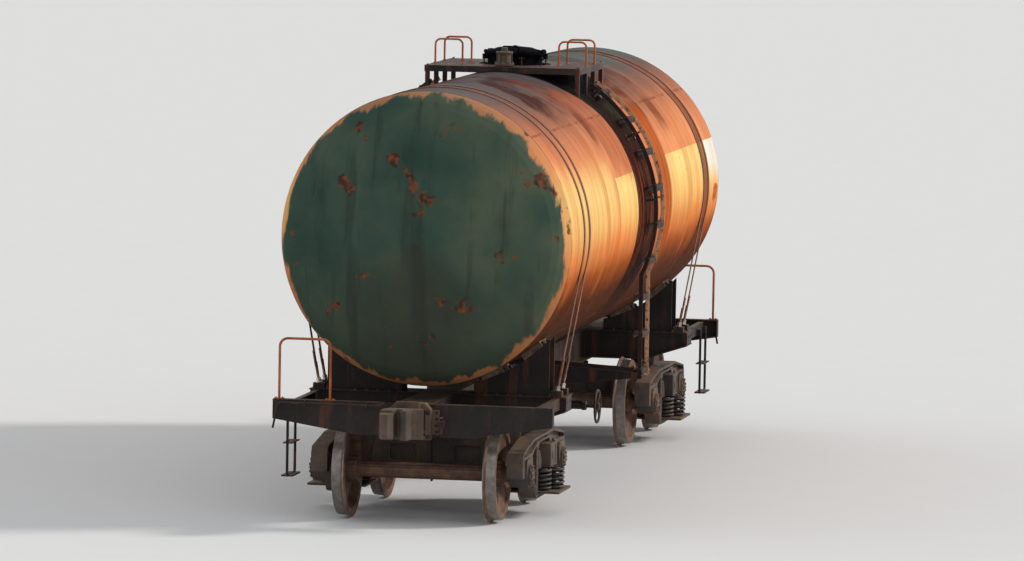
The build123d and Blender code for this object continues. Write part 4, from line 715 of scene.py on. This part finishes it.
def hatch_bolts():
    """The lid's eye bolts, loosened and hanging from their lugs, with wing nuts at their ends."""
    piece = Piece("hatch_eye_bolts", "car", "fitting_paint")
    pin_r, pin_z, length, marks = 0.342, NECK_TOP - 0.048, 0.105, 30
    pin = [(0.006, 0), (0.007, 0.001), (0.007, 0.053), (0.006, 0.054)]
    ring = [(0.013, 0), (0.015, 0.003), (0.015, 0.015), (0.013, 0.018)]
    hub = [(0.014, -0.008), (0.016, -0.004), (0.015, 0.008), (0.011, 0.012)]
    wing = ((0.012, 0.0), (0.026, -0.008), (0.036, -0.020))
    for _, out, side in eye_bolt_places():
        eye = out * pin_r + Vector((0, 0, pin_z))
        piece.turned(at(eye - side * 0.027, side), pin, 10)
        for lug_side in ENDS:
            piece.bolt(at(eye + side * (0.023 * lug_side), side * lug_side), 0.013, 0.006, washer=False)
        piece.turned(at(eye - side * 0.009, side), ring, 14)
        foot = eye - Vector((0, 0, length))
        threads = [eye + (foot - eye) * (k / marks) for k in range(4, marks + 1)]
        piece.tube(threads, [0.0085 if k % 2 else 0.0074 for k in range(len(threads))], 10)
        nut = foot + Vector((0, 0, 0.020))
        piece.turned(at(nut, (0, 0, -1)), hub, 12)
        for wing_side in ENDS:
            path = [nut + side * (wing_side * a) + Vector((0, 0, b)) for a, b in wing]
            piece.tube(path, [0.006, 0.0075, 0.005], 8)
    piece.done()


def lid_trim():
    """The lid's stiffening ring and notch guards above, its gasket below and the cap of its boss."""
    piece = Piece("lid_trim", "hatch_lid", "tank_paint")
    rim = NECK_TOP + 0.0205
    for reach, z, wire in ((0.262, rim + 0.004, 0.007), (0.268, NECK_TOP - 0.003, 0.006)):
        ring = [(x, y, z) for _, x, y in circle(0, 0, reach, 72)]
        piece.tube(ring, wire, 8, round_again=True)
    guard = rectangle(0.016, 0.007)
    for turn, out, across in eye_bolt_places():
        for side in (-0.024, 0.024):
            origin = out * 0.318 + across * side + Vector((0, 0, rim))
            piece.plate(at(origin, UP, turn), guard, 0.012)
    piece.turned(at((0, 0, rim + 0.043), UP), [(0.03, 0), (0.03, 0.006), (0.02, 0.012), (0.008, 0.014)], 20)
    piece.done()


def valve_trim():
    """Bolts and spring cage of the relief valve, the bolts of its stub and a lead seal's eye."""
    piece = Piece("valve_trim", "car", "cast_metal")
    flange_r, cage_r, eye_r = 0.088, 0.080, 0.018
    for turn, x, y in circle(VALVE_X, 0, flange_r, 8):
        piece.bolt(at((x, y, BARREL_TOP + 0.082), UP, turn), 0.022, 0.014)
        piece.tube([(x, y, BARREL_TOP + 0.040), (x, y, BARREL_TOP + 0.060)], 0.008, 8)
    for _, x, y in circle(VALVE_X, 0, cage_r, 6, 0.5):
        piece.tube([(x, y, BARREL_TOP + 0.086), (x, y, BARREL_TOP + 0.192)], 0.006, 8)
        piece.bolt(at((x, y, BARREL_TOP + 0.206), UP), 0.014, 0.008, washer=False)
    eye = [(VALVE_X + 0.034, y, z) for _, y, z in circle(0, BARREL_TOP + 0.236, eye_r, 18)]
    piece.tube(eye, 0.003, 6, round_again=True)
    piece.done()


def deck_plate():
    """Raised lozenges of the walkway's chequer plate, and the bolts over its legs."""
    piece = Piece("deck_chequers", "car", "fitting_paint")
    pitch, long, wide, rise, margin = 0.058, 0.017, 0.006, 0.0022, 0.004
    base = [(long, 0), (0, wide), (-long, 0), (0, -wide)]
    top = [(a * 0.7, b * 0.4) for a, b in base]
    rings = ((base, 0), (top, rise))
    columns, rows = [range(int(half * 2 / pitch)) for half in (DECK_HALF_X, DECK_HALF_Y)]
    for i, j in product(columns, rows):
        x = -DECK_HALF_X + pitch * (i + 0.5) + margin
        y = -DECK_HALF_Y + pitch * (j + 0.5)
        if hypot(x, y) < DECK_HOLE + 0.03 or hypot(x - VALVE_X, y) < 0.14:
            continue
        turn = radians(45) if (i + j) % 2 else radians(-45)
        place = at((x, y, DECK_TOP - 0.0002), UP, turn)
        piece.loft([[place @ Vector((a, b, z)) for a, b in ring] for ring, z in rings])
    for x, y in product((-0.730, -0.2433, 0.2433, 0.730), (-0.82, 0.82)):
        piece.bolt(at((x, y, DECK_TOP), UP, 0.4), 0.020, 0.010)
    piece.done(sharp=radians(20))


def bent_rails():
    """Hoops at the ladders' heads, welded at their feet, and the end beams' rails on bolted pads."""
    piece = Piece("bent_rails", "car", "rail_paint")
    for side in ENDS:
        near, far = GRAB_Y * side, (GRAB_Y - GRAB_DEPTH) * side
        hoop = ((near, DECK_TOP), (near, GRAB_TOP), (far, GRAB_TOP), (far, DECK_TOP))
        for x in (-0.260, 0.260):
            piece.tube(bent([(x, y, z) for y, z in hoop], 0.060), 0.011, 12)
            for y in (near, far):
                piece.turned(at((x, y, DECK_TOP), UP), [(0.024, 0), (0.024, 0.004), (0.014, 0.010)], 16)
    low, high, pad_height = 1.253, 1.873, 0.008
    pad = rectangle(0.032, 0.05)
    for end in ENDS:
        x, near, far = 5.360 * end, -1.390 * end, -0.860 * end
        piece.tube(bent([(x, near, low), (x, near, high), (x, far, high), (x, far, low)], 0.085), 0.013, 14)
        for y in (near, far):
            piece.plate(at((x, y, low), UP), pad, pad_height)
            for shift in (-0.034, 0.034):
                piece.bolt(at((x, y + shift, low + pad_height), UP), 0.016, 0.009)
    made = piece.done()
    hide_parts("handrails")


# Ladders


def tread_places():
    """The ladders' treads on the +y side as (y, z): the upright foot's, then those round the tank."""
    foot_y = (LADDER_RADIUS - STRINGER_DEPTH / 2) * cos(LADDER_LOW) + STRINGER_DEPTH / 2
    places, z = [], LADDER_FOOT_Z + 0.100
    while z < AXIS_Z + LADDER_RADIUS * sin(LADDER_LOW):
        places.append((foot_y, z))
        z += LADDER_STEP
    angle = asin((z - AXIS_Z) / LADDER_RADIUS)
    while angle < LADDER_HIGH:
        places.append((LADDER_RADIUS * cos(angle), AXIS_Z + LADDER_RADIUS * sin(angle)))
        angle += LADDER_STEP / LADDER_RADIUS
    return places


def ladder_trim():
    """Turned-down edges and ribs of the treads, the bolts that hold them to the stringers, weld pads on
    the barrel and the bolts of the ladders' feet."""
    piece = Piece("ladder_trim", "car", "ladder_paint")
    edge = [(-0.213, -0.050), (0.213, -0.050), (0.213, 0), (-0.213, 0)]
    pad = [(0.042, 0), (0.042, 0.006), (0.018, 0.012)]
    foot_y = tread_places()[0][0] + STRINGER_DEPTH / 2
    for side in ENDS:
        for y, z in tread_places():
            for rim in (y - 0.0754, y + 0.0210):
                piece.plate(at((0, side * rim, z - 0.004), (0, side, 0)), edge, 0.005, edge=0.001)
            for rib in range(4):
                rib_y = side * (y - 0.064 + 0.026 * rib)
                piece.tube([(-0.205, rib_y, z + 0.004), (0.205, rib_y, z + 0.004)], 0.0035, 6)
            for out, shift in product((-1, 1), (-0.022, 0.012)):
                place = (out * STRINGER_X, side * (y + shift), z + 0.012)
                piece.bolt(at(place, (out, 0, 0)), 0.014, 0.008)
        for bracket, x in product(LADDER_BRACKETS, (-STRINGER_X, STRINGER_X)):
            base = on_barrel(x, side * radians(90 - bracket), 0.0005)
            piece.turned(at(base, base - Vector((x, 0, AXIS_Z))), pad, 18)
        for x, z in product((-0.230, 0.230), (1.105, 1.140)):
            piece.bolt(at((x, side * foot_y, z), (0, side, 0)), 0.018, 0.010)
    piece.done()


# Straps


def strap_end(plates, rods, x, side):
    """One strap's lower end: a forged plate riveted over the band, then threads and two nuts."""
    inner = BARREL_RADIUS + 0.0003
    drop = ANCHOR_TOP - AXIS_Z
    leave = atan2(drop, ANCHOR_Y) + acos(inner / hypot(ANCHOR_Y, drop))
    touch = Vector((inner * cos(leave), inner * sin(leave)))
    run = Vector((ANCHOR_Y, drop)) - touch
    length = run.length
    down = run / length
    out = Vector((cos(leave), sin(leave)))

    def spot(along, lift):
        """A point on the strap's straight run, so far along it and out from its inner face."""
        p = touch + down * along + out * lift
        return Vector((x, side * p.x, AXIS_Z + p.y))

    axis = spot(1, 0) - spot(0, 0)
    normal = spot(0, 1) - spot(0, 0)
    across = Vector((1, 0, 0))
    plate_at, plate_thickness = length - 0.290, 0.008
    shape = [(-0.029, -0.05), (0.029, -0.05), (0.029, 0.09)]
    shape += [(0.019, 0.126), (-0.019, 0.126), (-0.029, 0.09)]
    axes = Matrix((across, axis, normal)).transposed().to_4x4()
    plates.plate(Matrix.Translation(spot(plate_at, STRAP_THICKNESS)) @ axes, shape, plate_thickness)
    for row, shift in product((-0.03, 0.0, 0.03), (-0.015, 0.015)):
        foot = spot(plate_at + row, STRAP_THICKNESS + plate_thickness) + across * shift
        plates.rivet(at(foot, normal), 0.007)
    lift, threads = STRAP_THICKNESS / 2, 34
    line = [spot(length - 0.158 + 0.150 * k / (2 * threads), lift) for k in range(2 * threads + 1)]
    rods.tube(line, [0.0158 if k % 2 else 0.0136 for k in range(len(line))], 12)
    rods.bolt(at(spot(length - 0.004, lift), -axis), 0.046, 0.026)
    rods.bolt(at(spot(length - 0.034, lift), -axis), 0.046, 0.018, washer=False)


def strap_fittings():
    """All straps' lower ends, as a piece of plates and a piece of rods."""
    plates = Piece("strap_ends", "car", "strap_steel")
    rods = Piece("strap_rods", "car", "bright_steel")
    for end, place, side in product(ENDS, STRAP_PLACES, ENDS):
        strap_end(plates, rods, end * place, side)
    plates.done()
    rods.done()


# Underframe


def end_fasteners(piece, end):
    """The striker's rivets, those along the end beam's edges, and the centring beam's bolts."""
    face = Vector((end, 0, 0))
    beam_slope = 0.13  # of the beam's lower edge, which falls towards the middle
    for y, z in product((-0.262, 0.262), (-0.115, -0.05, 0.02, 0.085)):
        piece.rivet(at((end * (FRAME_HALF + 0.016), y, COUPLER_Z + z), face), 0.015)
    for y in (-1.41, -1.24, -1.07, -0.90, -0.73, 0.73, 0.90, 1.07, 1.24, 1.41):
        piece.rivet(at((end * FRAME_HALF, y, SILL_TOP - 0.02), face), 0.012)
        lower = SILL_TOP - 0.165 - max(0.0, 1.40 - abs(y)) * beam_slope
        piece.rivet(at((end * FRAME_HALF, y, lower), face), 0.012)
    for y, z in product((-0.19, 0.19), (-0.16, 0.09)):
        piece.bolt(at((end * (FRAME_HALF + 0.110), y, COUPLER_Z + z), face), 0.026, 0.014)


def bolster_fasteners(piece, end, side):
    """Bolts of the cradle on the body bolster, and rivets of the bolster's end and the side beam."""
    out = (0, side, 0)
    for x, y in product((-0.175, 0.175), (0.50, 0.62, 0.74, 0.86)):
        piece.bolt(at((end * (BOGIE_X + x), side * y, SILL_TOP), UP), 0.026, 0.015)
    for x in (-0.16, -0.06, 0.06, 0.16):
        piece.rivet(at((end * (BOGIE_X + x), side * BOLSTER_END_Y, SILL_TOP - 0.06), out), 0.012)
    for n in range(5):
        x = end * (BOGIE_X + 0.32 + 0.26 * n)
        piece.rivet(at((x, side * 1.290, SILL_TOP - 0.072), out), 0.011)


def frame_fasteners():
    """Rivets and bolts of the frame's ends, bolsters and centre feet, and along the sill's webs."""
    piece = Piece("frame_fasteners", "car", "frame_paint")
    for end in ENDS:
        end_fasteners(piece, end)
        for side in ENDS:
            bolster_fasteners(piece, end, side)
        for side, x, y in product(ENDS, (-0.135, -0.06, 0.06, 0.135), (0.128, 0.312)):
            piece.bolt(at((end * 0.520 + x, side * y, SILL_TOP + 0.020), UP), 0.024, 0.014)
    web_y, pitch, bolster_half = 0.187, 0.2, 0.25
    for side, n in product(ENDS, range(-26, 27)):
        if abs(abs(n * pitch) - BOGIE_X) > bolster_half:
            piece.rivet(at((n * pitch, side * web_y, SILL_TOP - 0.045), (0, side, 0)), 0.010)
    piece.done()


def pad_bolts():
    """Countersunk bolts that hold the timber pads in their cradles."""
    piece = Piece("pad_cleats", "car", "frame_paint")
    head = BARREL_RADIUS + PAD_THICKNESS - 0.012
    shank = [(0.016, -0.02), (0.016, 0.024), (0.012, 0.028)]
    for end, side, middle, shift in product(ENDS, ENDS, (22, 40), (-4.9, 4.9)):
        angle = radians(middle + shift)
        y, z = side * (head * sin(angle)), AXIS_Z - head * cos(angle)
        inward = -Vector((0, side * sin(angle), -cos(angle)))
        for x in (-0.140, 0.140):
            piece.turned(at((end * BOGIE_X + x, y, z), inward), shank, 10)
    piece.done()


def air_gear_trim():
    """Flange bolts of the brake cylinder and air valve, unions and drain plug of the air reservoir."""
    piece = Piece("air_gear_trim", "car", "cast_metal")
    flange_r, valve_r, cover_r = 0.204, 0.104, 0.044
    x, *middle = CYLINDER
    for turn, y, z in circle(*middle, flange_r, 12, 0.5):
        piece.bolt(at((x, y, z), (-1, 0, 0), turn), 0.024, 0.014)
    valve_x, *middle = AIR_VALVE
    for side, x in ((1, -0.680), (-1, -1.320)):
        for turn, y, z in circle(*middle, valve_r, 6, 0.5):
            piece.bolt(at((x, y, z), (side, 0, 0), turn), 0.022, 0.012)
    for _, x, z in circle(valve_x, middle[1], cover_r, 4, 0.5):
        piece.bolt(at((x, -0.640, z), (0, -1, 0)), 0.016, 0.010)
    middle_x, y, z = RESERVOIR
    union = [(0.028, -0.02), (0.028, 0.016), (0.018, 0.02), (0.018, 0.03)]
    for out, x in ((-1, -1.515), (1, -0.485)):
        piece.turned(at((x, y, z), (out, 0, 0)), union, 12)
    piece.bolt(at((middle_x, y, z - 0.154), (0, 0, -1)), 0.026, 0.016)
    piece.done()


# Bogies

# Coils of one spring: mean radius, wire's radius, turns, points a turn, hand and the wire's sides
COILS = ((0.083, 0.0150, 5.3, 26, 1, 8), (0.0475, 0.0090, 8.0, 18, -1, 6))
FLAT_TURN = 0.75  # of a turn, lies flat on the seat at each end


def wound_coil(x, y, mean, wire, wound, per_turn, hand):
    """Path and radii of a coil that stands on the spring seat, its ends ground thin."""
    steps = int(wound * per_turn)
    free = SPRING_HEIGHT - 2 * wire
    path, radii = [], []
    for n in range(steps + 1):
        so_far = wound * n / steps
        share = min(1.0, max(0.0, (so_far - FLAT_TURN) / (wound - 2 * FLAT_TURN)))
        lead = min(so_far, FLAT_TURN) / FLAT_TURN + min(0, wound - FLAT_TURN - so_far) / -FLAT_TURN
        rise = wire * 0.9 * lead
        z = SPRING_SEAT_Z + wire + share * (free - wire * 1.8) + rise
        turn = hand * 2 * pi * so_far
        path.append((x + mean * cos(turn), y + mean * sin(turn), z))
        radii.append(wire * (0.55 + 0.45 * min(1.0, min(n, steps - n) / (0.4 * per_turn))))
    return path, radii


def spring_nests(name, end):
    """Outer and inner coils of one bogie's fourteen springs, wound from round bar with ground ends."""
    piece = Piece(f"{name}_coils", name, "spring_steel")
    across, along = SPRING_PITCH, SPRING_PITCH * sin(radians(60))
    places = [(0, 0), (0, across), (0, -across)]
    places += [(sx * along, sy * across / 2) for sx in ENDS for sy in ENDS]
    for side, (x, y), (*coil, sides) in product(ENDS, places, COILS):
        path, radii = wound_coil(end * BOGIE_X + x, side * JOURNAL_Y + y, *coil)
        piece.tube(path, radii, sides)
    made = piece.done(sharp=radians(60))
    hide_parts(f"{name}_springs")


def axlebox_bolts(piece, x, side):
    """The eight bolts of an axlebox's cover ring and the four of its cap."""
    out = (0, side, 0)
    ring_y, ring_r, cap_y, cap_r = 1.147, 0.093, 1.161, 0.048
    for turn, bolt_x, z in circle(x, AXLE_Z, ring_r, 8, 0.5):
        piece.bolt(at((bolt_x, side * ring_y, z), out, turn), 0.022, 0.013)
    for _, bolt_x, z in circle(x, AXLE_Z, cap_r, 4):
        piece.bolt(at((bolt_x, side * cap_y, z), out), 0.016, 0.009, washer=False)


def bolster_end(piece, end, side):
    """The raised rim and the core plug on the end of a bogie's bolster."""
    middle = Vector((end * BOGIE_X, side * (BOGIE_BOLSTER_Y - 0.001), BOGIE_BOLSTER_Z))
    section = ((0.140, 0.112, 0), (0.138, 0.110, 0.007), (0.124, 0.096, 0.007), (0.121, 0.093, 0))
    rings = []
    for half_x, half_z, proud in section:
        corners = rectangle(half_x, half_z)
        rings.append([middle + Vector((x, side * proud, z)) for x, z in corners])
    piece.loft(rings, round_again=True)
    plug = [(0.046, 0), (0.046, 0.005), (0.038, 0.009), (0.012, 0.011)]
    piece.turned(at(middle, (0, side, 0)), plug, 20)


def bogie_fasteners(name, end):
    """Bolts of the axleboxes, the bolster's ends and rivets of the columns' wear plates."""
    piece = Piece(f"{name}_fasteners", name, "cast_metal")
    column_y = 1.103
    for side in ENDS:
        for offset in (-AXLE_OFFSET, AXLE_OFFSET):
            axlebox_bolts(piece, end * BOGIE_X + offset, side)
        bolster_end(piece, end, side)
        for sx, z, shift in product(ENDS, (0.46, 0.55, 0.64, 0.72), (0.355, 0.405)):
            place = (end * BOGIE_X + sx * shift, side * column_y, z)
            piece.rivet(at(place, (0, side, 0)), 0.012)
    piece.done()


weld_seams()
hatch_bolts()
lid_trim()
valve_trim()
deck_plate()
bent_rails()
ladder_trim()
strap_fittings()
frame_fasteners()
pad_bolts()
air_gear_trim()
for bogie, end in (("bogie_a", 1), ("bogie_b", -1)):
    spring_nests(bogie, end)
    bogie_fasteners(bogie, end)


# Floor, light and camera

SKY_LIGHT = 0.50  # what the sky gives each surface, where 1 would show colours as written
SKY_COLOR = (0.96, 0.98, 1.0, 1)
BACKDROP = (0.80, 0.80, 0.80, 1)
FLOOR_HALF = 400.0
FLOOR_TONE = 0.80
FLOOR_GRAIN = 0.024  # from the darkest to the lightest
EYE, TARGET = Vector((-77.0, -14.27, 8.6)), Vector((0.05, 0.0, 2.08))
LENS, SENSOR_WIDTH = 254.0, 36.0  # millimetres
ROLL = radians(1.0)


def floor():
    mesh = bmesh.new()
    mesh.faces.new([mesh.verts.new((x, y, 0)) for x, y in rectangle(FLOOR_HALF, FLOOR_HALF)])
    data = bpy.data.meshes.new("floor")
    mesh.to_mesh(data)
    mesh.free()
    f = Finish("floor")
    tone = f.stray(FLOOR_TONE, f.noise(1.5, 3), FLOOR_GRAIN)
    f.finish(tone, 0.9, [(f.noise(60.0, 2), 0.0004)], specular=0.1)
    data.materials.append(f.material)
    made = linked("floor", data)


def sky():
    """An even sky. The camera and reflections see a plain pale background instead of it."""
    world = bpy.data.worlds.new("sky")
    world.use_nodes = True
    n = Nodes(world.node_tree)
    rays = n.node("ShaderNodeLightPath").outputs
    seen = n.math("MAXIMUM", rays["Is Camera Ray"], rays["Is Glossy Ray"])
    seen = n.math("MAXIMUM", seen, rays["Is Transmission Ray"])
    light = n.node("ShaderNodeBackground", {0: SKY_COLOR, 1: SKY_LIGHT}).outputs[0]
    backdrop = n.node("ShaderNodeBackground", {0: BACKDROP}).outputs[0]
    both = n.node("ShaderNodeMixShader", {0: seen, 1: light, 2: backdrop}).outputs[0]
    n.node("ShaderNodeOutputWorld", {0: both})
    bpy.context.scene.world = world


def lamp(name, towards, power, width, color):
    """A soft, distant lamp. towards points from the car to the lamp, and width is in degrees."""
    data = bpy.data.lights.new(name, "SUN")
    data.energy, data.angle, data.color = power, radians(width), color
    linked(name, data).rotation_euler = Vector(towards).to_track_quat("Z", "Y").to_euler()


def camera():
    """The photograph's place and direction, with a longer lens that fills the picture with the car."""
    data = bpy.data.cameras.new("camera")
    data.lens, data.sensor_width = LENS, SENSOR_WIDTH
    data.clip_start, data.clip_end = 1.0, 2000.0
    made = linked("camera", data)
    aim = (TARGET - EYE).to_track_quat("-Z", "Y").to_matrix().to_4x4()
    made.matrix_world = Matrix.Translation(EYE) @ aim @ Matrix.Rotation(ROLL, 4, "Z")
    bpy.context.scene.camera = made


floor()
sky()
lamp("key", (0.42, -1.0, 0.58), 2.05, 9, (1.0, 0.96, 0.90))
lamp("fill", (-0.9, -0.5, 0.6), 0.35, 60, (0.95, 0.98, 1.0))
lamp("back", (0.1, 1.0, 0.45), 0.50, 60, (0.97, 0.98, 1.0))
camera()
bpy.context.scene.view_settings.view_transform = "Standard"
